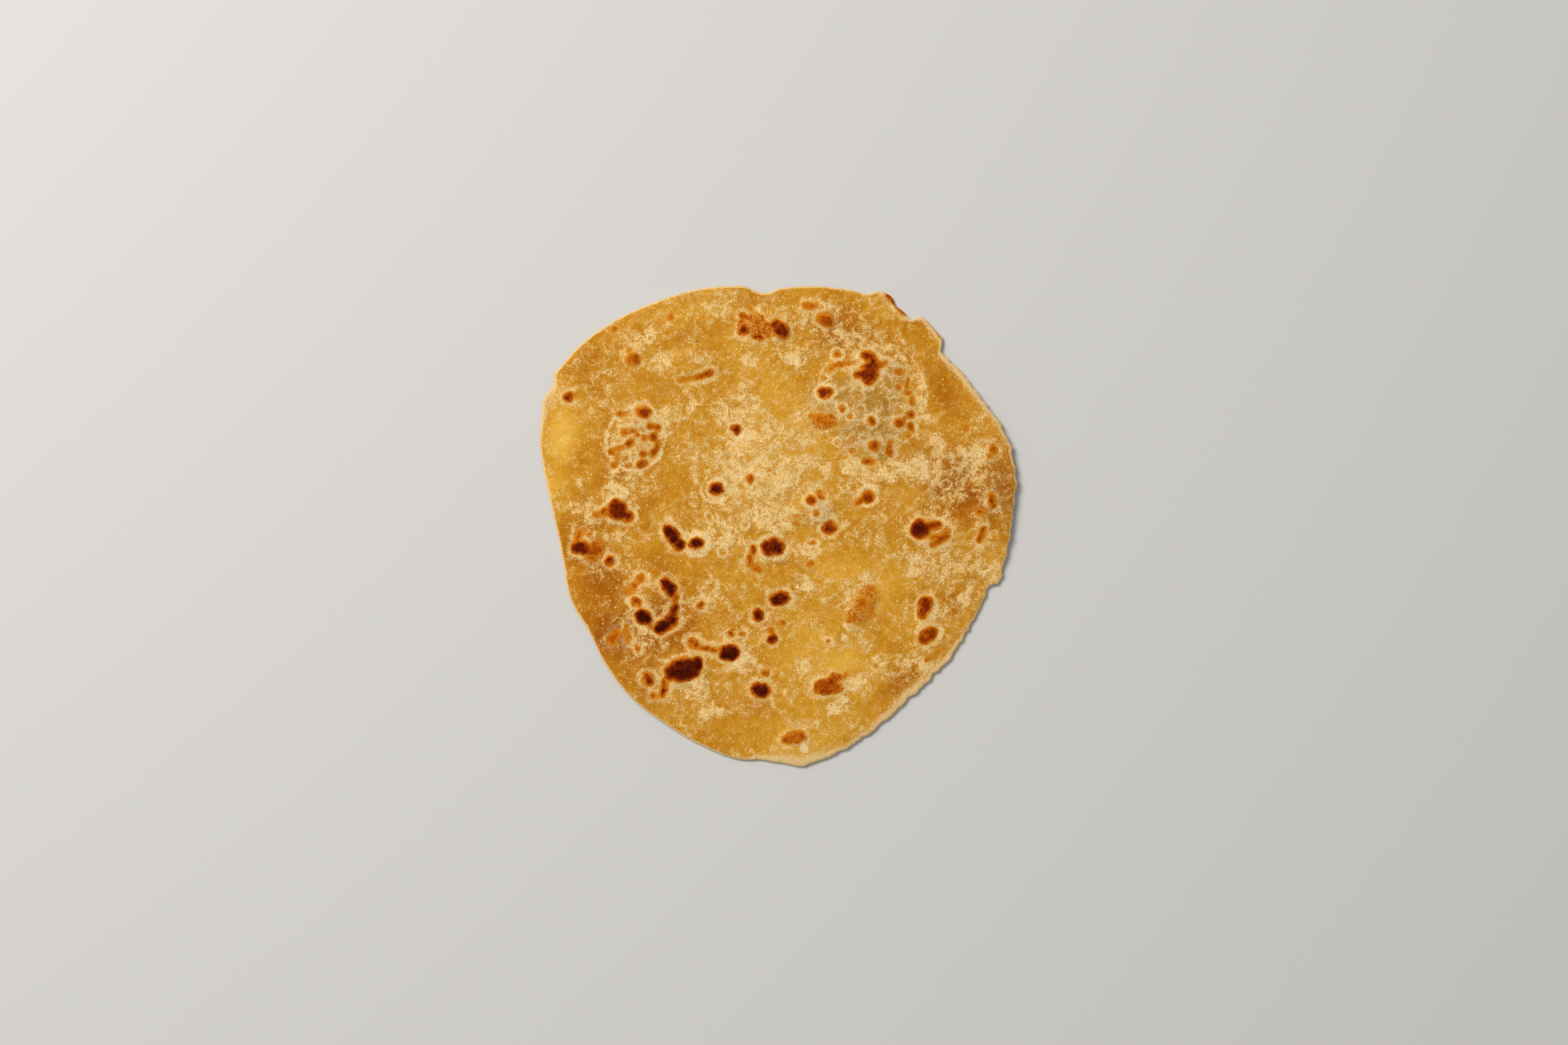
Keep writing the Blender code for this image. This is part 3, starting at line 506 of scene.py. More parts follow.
def oval_depth(x, y, centre_x, centre_y, length, width, tilt):
    """How far inside an oval's outline a point is, in millimetres, and below 0 outside."""
    u, v = in_oval_axes(x, y, centre_x, centre_y, tilt)
    half_length, half_width = length / 2, width / 2
    share = np.hypot(u / half_length, v / half_width)
    slope = np.maximum(np.hypot(u / half_length**2, v / half_width**2), NEARLY_ZERO)
    return np.minimum(share * (1.0 - share) / slope, min(half_length, half_width))


def line_distance(x, y, start_x, start_y, end_x, end_y):
    """Distance from a straight line, and how far along it the nearest point is (0 to 1)."""
    run = np.array((end_x - start_x, end_y - start_y))
    along = np.clip(((x - start_x) * run[0] + (y - start_y) * run[1]) / (run @ run), 0.0, 1.0)
    return np.hypot(x - start_x - along * run[0], y - start_y - along * run[1]), along


def relief(x, y):
    """How far bubbles, blisters, creases and lumps stand above the rolled sheet."""
    height = ROLLED_RISE * noise_at(x, y, ROLLED_WAVE, "roll")
    height = height + LUMP_RISE * noise_at(x, y, LUMP_WAVE, "lumps")
    bent_x = x + OUTLINE_BEND * noise_at(x, y, OUTLINE_WAVE, "outline x")
    bent_y = y + OUTLINE_BEND * noise_at(x, y, OUTLINE_WAVE, "outline y")
    for domes, flatness in ((BUBBLES, BUBBLE_FLATNESS), (BLISTERS, BLISTER_FLATNESS)):
        for oval, rise in ovals(domes):
            height = height + rise * (1.0 - oval_share(bent_x, bent_y, *oval) ** flatness) ** 2
    for *line, half_width, rise in CREASES:
        apart, along = line_distance(bent_x, bent_y, *line)
        arch = np.sin(np.pi * (CREASE_END + (1.0 - 2.0 * CREASE_END) * along))
        height = height + rise * arch * np.exp(-((apart / half_width) ** 2))
    return height


def skin_detail(x, y):
    """Pimples, wrinkles and bubble rims that are too fine for the solid."""
    height = sum(rise * noise_at(x, y, size, layer) for size, rise, layer in SKIN_GRAIN)
    height = height + RING_RISE * smooth_step((ring_depth(x, y) + RING_SLOPE_START) / RING_SLOPE)
    wave = WRINKLE_BEND * noise_at(x, y, WRINKLE_WAVE, "wrinkles")
    for centre_x, centre_y, inner, outer, spacing, direction, half_width, rise in WRINKLES:
        radius = np.hypot(x - centre_x, y - centre_y)
        turned = turned_by(np.degrees(np.arctan2(y - centre_y, x - centre_x)), direction)
        there = smooth_step((radius - inner) / WRINKLE_FADE) * smooth_step((outer - radius) / WRINKLE_FADE)
        there = there * smooth_step(1.0 - np.abs(turned) / half_width)
        height = height + rise * there * np.sin(2 * np.pi * (radius + wave) / spacing)
    return height


def table_gap(angle, share):
    """How far the underside is off the table, at a share of the way out to the rim."""
    wave = sum(part * np.cos(np.radians(count * (angle - start))) for count, start, part in CURL_WAVES)
    return CURL_RISE * np.clip(wave, 0.0, 1.0) * smooth_step((share - CURL_FROM) / (1.0 - CURL_FROM))


# ---------------------------------------------------------------- mesh of the bread
def disc_grid(rings):
    """Ring and direction of each crossing of a square grid, when its squares are bent into circles."""
    steps = np.arange(-rings, rings + 1.0)
    i, j = np.meshgrid(steps, steps, indexing="ij")
    wide = np.abs(i) >= np.abs(j)
    off_middle = (i != 0) | (j != 0)
    lean = np.divide(np.where(wide, j, i), np.where(wide, i, j), out=np.zeros_like(i), where=off_middle)
    angle = np.where(wide, 45.0 * lean + 180.0 * (i < 0), 90.0 - 45.0 * lean + 180.0 * (j < 0))
    return np.maximum(np.abs(i), np.abs(j)), angle % 360.0


def grid_quads(side, first):
    """Quads between the points of a square grid that is numbered from first."""
    index = np.arange(side * side).reshape(side, side) + first
    corners = (index[:-1, :-1], index[1:, :-1], index[1:, 1:], index[:-1, 1:])
    return np.stack(corners, axis=-1).reshape(-1, 4)


def border_loop(ring, angle, first):
    """Numbers of a grid's outermost points, counter-clockwise from +X."""
    border = np.flatnonzero(ring.ravel() == ring.max())
    return border[np.argsort(angle.ravel()[border], kind="stable")] + first


def sheet_points(radius, angle, turn, upper):
    """Points of one face; turn goes from 0 on the flat to a right angle on the rim's outermost line."""
    rim = rim_radius(angle)
    x, y = on_circle(radius, angle)
    inset = rim - radius
    gap = table_gap(angle, radius / rim)
    middle = EDGE_MIDDLE * RIM_THICKNESS
    if not upper:
        return np.stack((x, y, gap + middle * (1.0 - np.cos(turn))), axis=-1)
    thickness = RIM_THICKNESS + (THICKNESS - RIM_THICKNESS) * smooth_step(inset / RIM_TAPER)
    raised = (relief(x, y) + skin_detail(x, y)) * smooth_step(inset / (2.0 * EDGE_ROUND))
    return np.stack((x, y, gap + middle + (thickness - middle) * np.cos(turn) + raised), axis=-1)


def upper_face():
    """Grid of the upper face out to the rim's outermost line, and that line's numbers."""
    ring, angle = disc_grid(UPPER_RINGS)
    flat = UPPER_RINGS - EDGE_RINGS
    turn = np.clip((ring - flat) / EDGE_RINGS, 0.0, 1.0) * np.pi / 2
    radius = (rim_radius(angle) - EDGE_ROUND) * np.minimum(ring / flat, 1.0) + EDGE_ROUND * np.sin(turn)
    points = sheet_points(radius.ravel(), angle.ravel(), turn.ravel(), upper=True)
    return points, grid_quads(len(ring), 0), border_loop(ring, angle, 0)


def lower_edge(first, outer_loop):
    """Rings that round the rim off below its outermost line, as fine as the upper face."""
    count = len(outer_loop)
    angle = np.arange(count) * 360.0 / count
    loops, points, quads = [outer_loop], [], []
    for step in range(LOWER_EDGE_RINGS):
        turn = np.full(count, (1.0 - (step + 1) / LOWER_EDGE_RINGS) * np.pi / 2)
        radius = rim_radius(angle) - EDGE_ROUND + EDGE_ROUND * np.sin(turn)
        points.append(sheet_points(radius, angle, turn, upper=False))
        loops.append(first + step * count + np.arange(count))
        outer, inner = loops[-2], loops[-1]
        quads.append(np.stack((outer, inner, np.roll(inner, -1), np.roll(outer, -1)), axis=-1))
    return np.concatenate(points), np.concatenate(quads), loops[-1]


def lower_face(first, fine_loop):
    """Coarser grid of the underside, joined to the fine loop around it, two fine steps to one coarse."""
    ring, angle = disc_grid(LOWER_RINGS - 1)
    radius = (rim_radius(angle) - EDGE_ROUND) * ring / LOWER_RINGS
    flat = np.zeros(ring.size)
    points = sheet_points(radius.ravel(), angle.ravel(), flat, upper=False)
    coarse = border_loop(ring, angle, first)
    return points, grid_quads(len(ring), first)[:, ::-1], zipped(fine_loop, coarse)


def zipped(outer, inner):
    """Triangles between two loops of different counts that both start at +X."""
    triangles = []
    i, j = 0, 0
    while i < len(outer) or j < len(inner):
        here_out, here_in = outer[i % len(outer)], inner[j % len(inner)]
        if (i + 1) / len(outer) <= (j + 1) / len(inner):
            i += 1
            triangles.append((here_out, here_in, outer[i % len(outer)]))
        else:
            j += 1
            triangles.append((here_out, here_in, inner[j % len(inner)]))
    return triangles


# ---------------------------------------------------------------- fields that the crust's material reads
def spot_depths(x, y, spots, lines=()):
    """How deep inside the nearest browned spot each point is, and that spot's heat."""
    depths, heats = [], []
    for oval, heat in ovals(spots):
        depths.append(oval_depth(x, y, *oval))
        heats.append(heat)
    for *line, width, heat in lines:
        depths.append(width / 2 - line_distance(x, y, *line)[0])
        heats.append(heat)
    depth = np.max(depths, axis=0)
    weights = [np.exp((one - depth) / SPOT_BLEND) for one in depths]
    heat = sum(weight * one for weight, one in zip(weights, heats)) / sum(weights)
    return np.maximum(depth, -SPOT_REACH), heat


def spot_bend(x, y, axis):
    """How far the outlines of spots are pushed along an axis, so that none is a true oval."""
    return sum(bend * noise_at(x, y, wave, f"{layer} {axis}") for bend, wave, layer in SPOT_BENDS)


def ring_depth(x, y):
    """How far inside the line of the nearest bubble rim each point is, and below 0 off it."""
    depth = np.full(len(x), -RING_REACH)
    for centre_x, centre_y, half_length, half_width, line, *rest in RINGS:
        tilt, direction, half_angle = (*rest, *WHOLE_RING[len(rest):])
        inside = oval_depth(x, y, centre_x, centre_y, 2.0 * half_length, 2.0 * half_width, tilt)
        turned = np.abs(turned_by(np.degrees(np.arctan2(y - centre_y, x - centre_x)), direction))
        beyond = np.radians(np.maximum(turned - half_angle, 0.0)) * min(half_length, half_width)
        depth = np.maximum(depth, line / 2 - np.hypot(inside, beyond))
    return depth


def zone_strength(x, y, zones, softness):
    """Strength of the strongest soft-edged oval zone at each point."""
    total = np.zeros(len(x))
    for oval, strength in ovals(zones):
        total = np.maximum(total, strength * smooth_step((1.0 - oval_share(x, y, *oval)) / softness))
    return total


def flour_strength(x, y, drift):
    """How thick flour lies on the upper face, below 0 where the skin is wiped bare."""
    zones = [zone_strength(x + drift, y - drift, rows, softness) for softness, rows in FLOURED.items()]
    bare = zone_strength(x + drift, y - drift, BARE, BARE_SOFTNESS)
    flour = np.maximum(np.max(zones, axis=0), FLOUR_BASE) * (1.0 - BARE_STRENGTH * bare)
    return flour - FLOUR_CLEARED * bare + FLOUR_PATCHINESS * noise_at(x, y, FLOUR_PATCH, "flour patches")


def skin_tone(x, y):
    """How yellow or how dark the upper face's skin is."""
    tone = sum(change * smooth_step(1.0 - oval_share(x, y, *oval)) for oval, change in ovals(TONED))
    return tone + sum(part * noise_at(x, y, wave, layer) for part, wave, layer in TONE_WAVES)


def rim_paleness(x, y):
    """Distance in from the rim, as a share of the pale band's width there."""
    angle = np.degrees(np.arctan2(y, x)) % 360.0
    pale_width = np.full(len(x), PALE_RIM_WIDTH)
    for direction, half_width, width in PALE_RIM:
        near = smooth_step(1.0 - np.abs(turned_by(angle, direction)) / half_width)
        pale_width = pale_width + (width - PALE_RIM_WIDTH) * near
    return (rim_radius(angle) - np.hypot(x, y)) / pale_width


def under_spots():
    """Spots of the underside, more of them and smaller than those above."""
    draw = np.random.default_rng(UNDER_SEED)
    spots = []
    for number in range(UNDER_SPOTS + UNDER_TOASTED):
        x, y = on_circle(UNDER_SPREAD * np.sqrt(draw.random()), draw.uniform(0.0, 360.0))
        if number < UNDER_SPOTS:
            length = UNDER_SMALLEST + UNDER_GROWTH * draw.random() ** UNDER_RARITY
            heat = UNDER_HEAT + UNDER_HEAT_GAIN * length + draw.normal(0, UNDER_HEAT_SPREAD)
            heat = np.clip(heat, UNDER_COOLEST, 1.0)
        else:
            length = draw.uniform(*UNDER_TOASTED_LENGTH)
            heat = draw.uniform(*UNDER_TOASTED_HEAT)
        spots.append((x, y, length, length * draw.uniform(*UNDER_SLIMNESS), heat, draw.uniform(0.0, 180.0)))
    return spots[:UNDER_SPOTS], spots[UNDER_SPOTS:]


def skin_fields(points, is_upper):
    """What the crust's material reads at each point, by the field's name."""
    x, y = points[:, 0], points[:, 1]
    spot_x, spot_y = x + spot_bend(x, y, "x"), y + spot_bend(x, y, "y")
    drift = FLOUR_BEND * noise_at(x, y, FLOUR_BEND_WAVE, "flour edge")
    lower_spots, lower_toasted = under_spots()
    burn_up, scorch_up = spot_depths(spot_x, spot_y, SPOTS, SCORCHED_LINES)
    burn_down, scorch_down = spot_depths(spot_x, spot_y, lower_spots)
    toast_up, level_up = spot_depths(spot_x, spot_y, TOASTED)
    toast_down, level_down = spot_depths(spot_x, spot_y, lower_toasted)
    flour_down = UNDER_FLOUR + UNDER_FLOUR_CHANGE * noise_at(x, y, UNDER_FLOUR_WAVE, "flour below")
    tone_down = UNDER_TONE + UNDER_TONE_CHANGE * noise_at(x, y, UNDER_TONE_WAVE, "tone below")
    # Olive zones, one of which is a painted shadow below the big blister.
    grey_and_shadow_up = zone_strength(x + drift, y + drift, GREYED_AND_SHADOWED, GREYED_SOFTNESS)
    ring_up = ring_depth(x + RING_DRIFT * drift, y - RING_DRIFT * drift)
    by_face = {
        "burn": (burn_up, burn_down),
        "scorch": (scorch_up, scorch_down),
        "toast": (toast_up, toast_down),
        "toast_level": (level_up, level_down),
        "flour": (flour_strength(x, y, drift), flour_down),
        "tone": (skin_tone(x, y), tone_down),
        "grey_and_shadow": (grey_and_shadow_up, 0.0),
        "ring": (ring_up, -RING_REACH),
    }
    fields = {name: np.where(is_upper, *values) for name, values in by_face.items()}
    fields["pale"] = rim_paleness(x, y)
    return fields


def bread_mesh():
    """The whole skin as one closed mesh in metres, with its fields."""
    points, quads, rim_loop = upper_face()
    edge_points, edge_quads, fine_loop = lower_edge(len(points), rim_loop)
    below_points, below_quads, strip = lower_face(len(points) + len(edge_points), fine_loop)
    everything = np.concatenate((points, edge_points, below_points))
    faces = np.concatenate((quads, edge_quads, below_quads)).tolist() + strip
    fields = skin_fields(everything, np.arange(len(everything)) < len(points))
    low, high = everything.min(axis=0), everything.max(axis=0)
    shift = np.array(((low[0] + high[0]) / 2, (low[1] + high[1]) / 2, low[2]))
    mesh = bpy.data.meshes.new("chapati_skin")
    mesh.from_pydata(((everything - shift) * MM).tolist(), [], faces)
    for name, values in fields.items():
        mesh.attributes.new(name, "FLOAT", "POINT").data.foreach_set("value", values.astype(np.float32))
    mesh.shade_smooth()
    return mesh, shift


# ---------------------------------------------------------------- what materials and growths are made with
def shade(red, green, blue):
    """A colour from its 0 to 255 values on a screen."""
    parts = [value / 255 for value in (red, green, blue)]
    linear = [part / 12.92 if part <= 0.04045 else ((part + 0.055) / 1.055) ** 2.4 for part in parts]
    return (*linear, 1.0)


def fill(tree, node, inputs):
    """Joins or sets a node's inputs, by name or number."""
    for key, value in inputs.items():
        value = value.socket if isinstance(value, Pattern) else value
        if isinstance(value, bpy.types.NodeSocket):
            tree.links.new(value, node.inputs[key])
        else:
            node.inputs[key].default_value = value


def new_node(tree, kind, inputs, **settings):
    """A node with its settings made and its inputs filled."""
    node = tree.nodes.new(kind)
    for name, value in settings.items():
        setattr(node, name, value)
    fill(tree, node, inputs)
    return node


class Pattern:
    """A number that a material works out at each point, to add to, multiply and bend."""

    def __init__(self, look, socket):
        self.look = look
        self.socket = socket

    def math(self, operation, second=0.0, third=0.0):
        """This joined with one or two more numbers by one of the shader's own operations."""
        inputs = {0: self, 1: second, 2: third}
        return Pattern(self.look, self.look.node("ShaderNodeMath", inputs, operation=operation).outputs[0])

    def __add__(self, other):
        return self.math("ADD", other)

    def __mul__(self, other):
        return self.math("MULTIPLY", other)

    def line(self, slope, start):
        """This times a slope, plus a start."""
        return self.math("MULTIPLY_ADD", slope, start)

    def between(self, first, second):
        """The number that is this share of the way from the first to the second."""
        return self.line(second - first, first)

    def rise(self, low, high):
        """0 where this is under low, 1 above high, and smooth between; low may be above high."""
        ends = {"From Min": min(low, high), "From Max": max(low, high)}
        heights = {"To Min": float(low > high), "To Max": float(low <= high)}
        inputs = {"Value": self, **ends, **heights}
        node = self.look.node("ShaderNodeMapRange", inputs, interpolation_type="SMOOTHSTEP")
        return Pattern(self.look, node.outputs[0])


class Finish:
    """A material's node tree, with every pattern's size in millimetres."""

    def __init__(self, name):
        self.material = bpy.data.materials.new(name)
        self.material.use_nodes = True
        self.tree = self.material.node_tree
        place = self.node("ShaderNodeTexCoord", {}).outputs["Object"]
        scaled = self.node("ShaderNodeVectorMath", {0: place, "Scale": 1.0 / MM}, operation="SCALE")
        self.place = scaled.outputs[0]

    def node(self, kind, inputs, **settings):
        return new_node(self.tree, kind, inputs, **settings)

    def field(self, name):
        """A field of the bread's mesh."""
        return Pattern(self, self.node("ShaderNodeAttribute", {}, attribute_name=name).outputs["Fac"])

    def moved(self, offset):
        """The place that a pattern is read at, moved so that no two patterns are alike."""
        inputs = {0: self.place, 1: (offset, 0.7 * offset, -0.4 * offset)}
        return self.node("ShaderNodeVectorMath", inputs, operation="ADD").outputs[0]

    def grain(self, size, detail=3.0, roughness=0.5, distortion=0.0, offset=0.0):
        """Noise mostly between -1 and 1."""
        inputs = {"Vector": self.moved(offset), "Scale": 1.0 / size, "Detail": detail}
        inputs.update({"Roughness": roughness, "Distortion": distortion})
        return Pattern(self, self.node("ShaderNodeTexNoise", inputs).outputs[0]).line(4.0, -2.0)

    def dots(self, spacing, offset, smallest, largest):
        """How far inside the nearest of scattered dots a point is, in shares of their spacing."""
        inputs = {"Vector": self.moved(offset), "Scale": 1.0 / spacing}
        cells = self.node("ShaderNodeTexVoronoi", inputs)
        numbers = self.node("ShaderNodeSeparateColor", {0: cells.outputs["Color"]})
        size = Pattern(self, numbers.outputs[0]).between(smallest, largest)
        return size.math("SUBTRACT", cells.outputs["Distance"])

    def ramp(self, value, tones):
        """A colour along tones, each a place and a colour."""
        node = self.node("ShaderNodeValToRGB", {0: value})
        elements = node.color_ramp.elements
        for element, (place, colour) in zip(elements, (tones[0], tones[-1])):
            element.position = place
            element.color = shade(*colour)
        for place, colour in tones[1:-1]:
            elements.new(place).color = shade(*colour)
        return node.outputs[0]

    def over(self, below, colour, share):
        """A colour laid over another, as far as a share says."""
        colour = shade(*colour) if isinstance(colour, tuple) else colour
        inputs = {"Factor": share, "A": below, "B": colour}
        return self.node("ShaderNodeMix", inputs, data_type="RGBA").outputs["Result"]

    def surface(self, inputs):
        """Joins or sets the shader's own sockets."""
        fill(self.tree, self.tree.nodes["Principled BSDF"], inputs)

    def bump(self, height, distance, strength=1.0):
        inputs = {"Height": height, "Distance": distance * MM, "Strength": strength}
        self.surface({"Normal": self.node("ShaderNodeBump", inputs).outputs[0]})


# ---------------------------------------------------------------- materials
class Crust(Finish):
    """Golden skin, a film and ragged clumps of grainy flour, and browned and charred spots."""

    def __init__(self):
        super().__init__("baked_crust")
        self.clump = self.grain(CLUMP_SIZE, 5.0, 0.6, 0.7, 11.0)
        self.grit = self.grain(GRIT_SIZE, 2.0, 0.8, 0.4, 37.0)
        self.vein = self.grain(VEIN_SIZE, 2.0, 0.6, 0.9, 23.0).math("ABSOLUTE").rise(0.42, 0.0)
        self.near_spot = self.field("scorch").rise(0.35, 0.65)
        self.burn = self.field("burn") + 0.12 + self.clump * 0.5 + self.grit * 0.14
        self.halo = self.near_spot * self.burn.rise(-2.8, -1.1) * self.burn.rise(-0.3, -0.8)
        self.ring = (self.field("ring") + self.clump * 0.3 + self.grit * 0.25).rise(-0.3, 0.3)
        self.greyed_and_shadowed = (self.field("grey_and_shadow") + self.clump * 0.3 + self.grit * 0.2).rise(0.1, 0.9)
        grit_share = self.field("flour").rise(-0.1, 0.4).between(0.26, 0.56)
        self.tone = self.field("tone") + self.clump * 0.3 + self.grit * grit_share
        self.dried = self.tone.rise(-1.6, 0.2)
        self.clumped = self.field("flour") + self.clump * 0.76
        self.flour = self.clumped + self.halo * 0.32 + self.ring * 0.35
        self.floured = (self.flour + self.grit * 0.2 + self.vein * 0.14).rise(0.44, 0.74)

    def bare_skin(self):
        """Skin from amber to yellow, and greyish olive where it cooked through, also laid as a painted
        shadow below the big blister.
        """
        skin = self.ramp(self.tone.line(0.37, 0.492), SKIN_TONES)
        return self.over(skin, OLIVE_AND_SHADOW_SKIN, self.greyed_and_shadowed * 0.72)

    def with_flour(self, skin):
        """A thin film and winding lines of flour, its clumps, painted highlights on its grains and painted
        shade in its crevices.
        """
        film = (self.flour + self.grit * 0.25).rise(-0.25, 0.75)
        skin = self.over(skin, FLOUR_FILM, film * self.dried * 0.37)
        winding = self.vein * self.flour.rise(0.1, 0.6) * self.grit.rise(-0.7, 0.6)
        skin = self.over(skin, FLOUR_LINES, winding * self.dried.between(0.4, 0.64))
        # Its ramp runs from painted shade in crevices to painted highlights on the brightest grains.
        thickness = self.grit * 0.34 + self.flour * 0.25 + self.vein * 0.18 + self.dried.between(0.13, 0.31)
        skin = self.over(skin, self.ramp(thickness, FLOUR_SHADE_TO_HIGHLIGHT_TONES), self.floured * 0.8)
        # Olive flour in the olive zones, which include a painted shadow below the big blister.
        skin = self.over(skin, OLIVE_AND_SHADOW_FLOUR, self.floured * self.greyed_and_shadowed * 0.45)
        # Painted highlights on flour grains, where grit, lines and flour run high.
        grain_highlight = (self.grit * 0.6 + self.vein * 0.4 + self.flour * 0.6).rise(0.8, 1.1)
        skin = self.over(skin, FLOUR_HIGHLIGHTS, grain_highlight * 0.75)
        # Painted shade in crevices where the grit runs low among flour.
        crevice_shade_share = self.grit.rise(-0.6, -1.2) * self.flour.rise(0.0, 0.5)
        return self.over(skin, CREVICE_SHADE, crevice_shade_share * 0.45)

    def with_pale_marks(self, skin):
        """Puckered bubble rims with a painted highlight along one, painted glints, the pale rim, and the
        glow round browned spots.
        """
        # Pale bubble rims and spot halos; the arc along the big blister's lower edge is a painted
        # highlight.
        rim_and_highlight_lines = self.ring.math("MAXIMUM", self.halo * 0.5)
        skin = self.over(skin, BUBBLE_RIMS_AND_HIGHLIGHT, rim_and_highlight_lines * self.grit.rise(-0.9, 0.2) * 0.72)
        # Painted glints: pale dots that stand in for tiny highlights on the oily skin.
        glint = self.dots(GLINT_SPACING, 5.0, -0.27, 0.33).rise(-0.04, 0.06)
        skin = self.over(skin, PAINTED_GLINTS, glint * 0.7)
        pale_rim = (self.field("pale") + self.clump * 0.5 + self.grit * 0.3).rise(1.0, 0.5)
        skin = self.over(skin, PALE_EDGE, pale_rim * 0.8)
        glow = self.near_spot * self.burn.rise(-1.2, -0.1)
        return self.over(skin, SPOT_GLOW, glow * 0.75)

    def toasting(self):
        """Heat of the lightly toasted patches, speckled and cut by paler winding lines."""
        depth = self.field("toast")
        toast = depth.math("MINIMUM", 0.8) + self.clump * 0.8 + self.grit * 0.6 + self.vein * -0.5 + 0.5
        heat = toast.rise(-0.5, 1.6) * depth.rise(-1.0, 0.3) * self.field("toast_level")
        return heat * (self.grit + self.clump).line(0.4, 1.12) * self.vein.between(1.0, 0.4)

    def charring(self):
        """Heat of the browned spots, which are hottest in their middle."""
        heat = self.field("scorch") + self.grit * 0.2 + self.clump * 0.2 + -0.03
        return heat * self.burn.rise(-0.3, 1.4).line(0.55, 0.45) * self.burn.rise(-0.65, 0.0)

    def finished(self):
        skin = self.with_pale_marks(self.with_flour(self.bare_skin()))
        browning = self.charring().math("MAXIMUM", self.toasting())
        skin = self.over(skin, self.ramp(browning, BROWN_TONES), browning.rise(0.06, 0.22))
        self.surface({"Base Color": skin, "Roughness": self.floured.between(0.42, 0.68)})
        self.surface({"Specular IOR Level": 0.03, "Subsurface Weight": 0.05})
        self.surface({"Subsurface Radius": (1.0, 0.45, 0.18), "Subsurface Scale": 1.0 * MM})
        raised = (self.clumped + self.grit * 0.2).rise(0.44, 0.74)
        self.bump(self.grit * 0.65 + self.clump * 0.3 + raised * 0.35, 0.2, 0.95)
        return self.material


def loose_finish(look, tones, tint, roughness, specular, relief_grain):
    """Finish of loose grains, whose tint and roughness change from grain to grain."""
    look.surface({"Base Color": look.ramp(tint.line(0.25, 0.5), tones), "Roughness": roughness})
    look.surface({"Specular IOR Level": specular})
    look.bump(relief_grain, 0.03)
    return look.material


def flour_finish():
    """Dry flour that the heat turned creamy."""
    look = Finish("dry_flour")
    roughness = look.grain(0.6).line(0.05, 0.75)
    return loose_finish(look, GRAIN_TONES, look.grain(2.5), roughness, 0.2, look.grain(0.15))


def bran_finish():
    """Charred bran."""
    look = Finish("charred_bran")
    roughness = look.grain(0.3).line(0.08, 0.5)
    return loose_finish(look, BRAN_TONES, look.grain(0.4, 2.0), roughness, 0.25, look.grain(0.12))


def floor_finish():
    """Plain pale studio floor."""
    look = Finish("pale_floor")
    look.surface({"Base Color": shade(*FLOOR_COLOUR), "Roughness": 0.9, "Specular IOR Level": 0.1})
    return look.material


# ---------------------------------------------------------------- loose flour and bran, by Geometry Nodes
class Growth:
    """A Geometry Nodes tree with named inputs, put on an object and then turned into a plain mesh."""

    def __init__(self, name):
        self.tree = bpy.data.node_groups.new(name, "GeometryNodeTree")
        self.tree.interface.new_socket("Bread", in_out="INPUT", socket_type="NodeSocketGeometry")
        self.tree.interface.new_socket("Grains", in_out="OUTPUT", socket_type="NodeSocketGeometry")
        self.settings = {}
        self.start = self.node("NodeGroupInput", {})

    def node(self, kind, inputs, **settings):
        return new_node(self.tree, kind, inputs, **settings)

    def product(self, first, second):
        return self.node("ShaderNodeMath", {0: first, 1: second}, operation="MULTIPLY").outputs[0]

    def field(self, name):
        """A field of the mesh that the tree runs on."""
        return self.node("GeometryNodeInputNamedAttribute", {"Name": name}, data_type="FLOAT").outputs[0]

    def named_input(self, name, kind, value):
        """A named input of the tree, and the value that the modifier will give it."""
        socket = self.tree.interface.new_socket(name, in_out="INPUT", socket_type=f"NodeSocket{kind}")
        self.settings[socket.identifier] = value
        return self.start.outputs[name]

    def grown(self, host):
        """Runs the tree on a host object, which becomes its result."""
        modifier = host.modifiers.new("growth", "NODES")
        modifier.node_group = self.tree
        for identifier, value in self.settings.items():
            modifier[identifier] = value
        result = bpy.data.meshes.new_from_object(host.evaluated_get(bpy.context.evaluated_depsgraph_get()))
        host.modifiers.remove(modifier)
        for slot in reversed(range(len(result.materials))):
            if result.materials[slot] is None:
                result.materials.pop(index=slot)
        host.data = result
        result.name = host.name
        return host


def placed(name, content):
    """A new object at the origin."""
    piece = bpy.data.objects.new(name, content)
    bpy.context.scene.collection.objects.link(piece)
    return piece


def grains_on(growth, points, material, smallest, largest, flatness, seed):
    """Puts a faceted grain of its own size and turn on each point, and ends the tree."""
    grain = growth.node("GeometryNodeMeshIcoSphere", {"Subdivisions": 1, "Radius": 1.0})
    inputs = {2: smallest, 3: largest, "Seed": seed}
    size = growth.node("FunctionNodeRandomValue", inputs, data_type="FLOAT").outputs[1]
    sides = {"X": size, "Y": growth.product(size, GRAIN_SLIMNESS), "Z": growth.product(size, flatness)}
    inputs = {0: (-GRAIN_LEAN, -GRAIN_LEAN, 0.0), 1: (GRAIN_LEAN, GRAIN_LEAN, 2 * np.pi), "Seed": seed}
    turn = growth.node("FunctionNodeRandomValue", inputs, data_type="FLOAT_VECTOR").outputs[0]
    inputs = {"Points": points, "Instance": grain.outputs["Mesh"], "Rotation": turn}
    inputs["Scale"] = growth.node("ShaderNodeCombineXYZ", sides).outputs[0]
    spread = growth.node("GeometryNodeInstanceOnPoints", inputs)
    real = growth.node("GeometryNodeRealizeInstances", {0: spread.outputs[0]})
    finished = growth.node("GeometryNodeSetMaterial", {"Geometry": real.outputs[0], "Material": material})
    growth.node("NodeGroupOutput", {0: finished.outputs[0]})


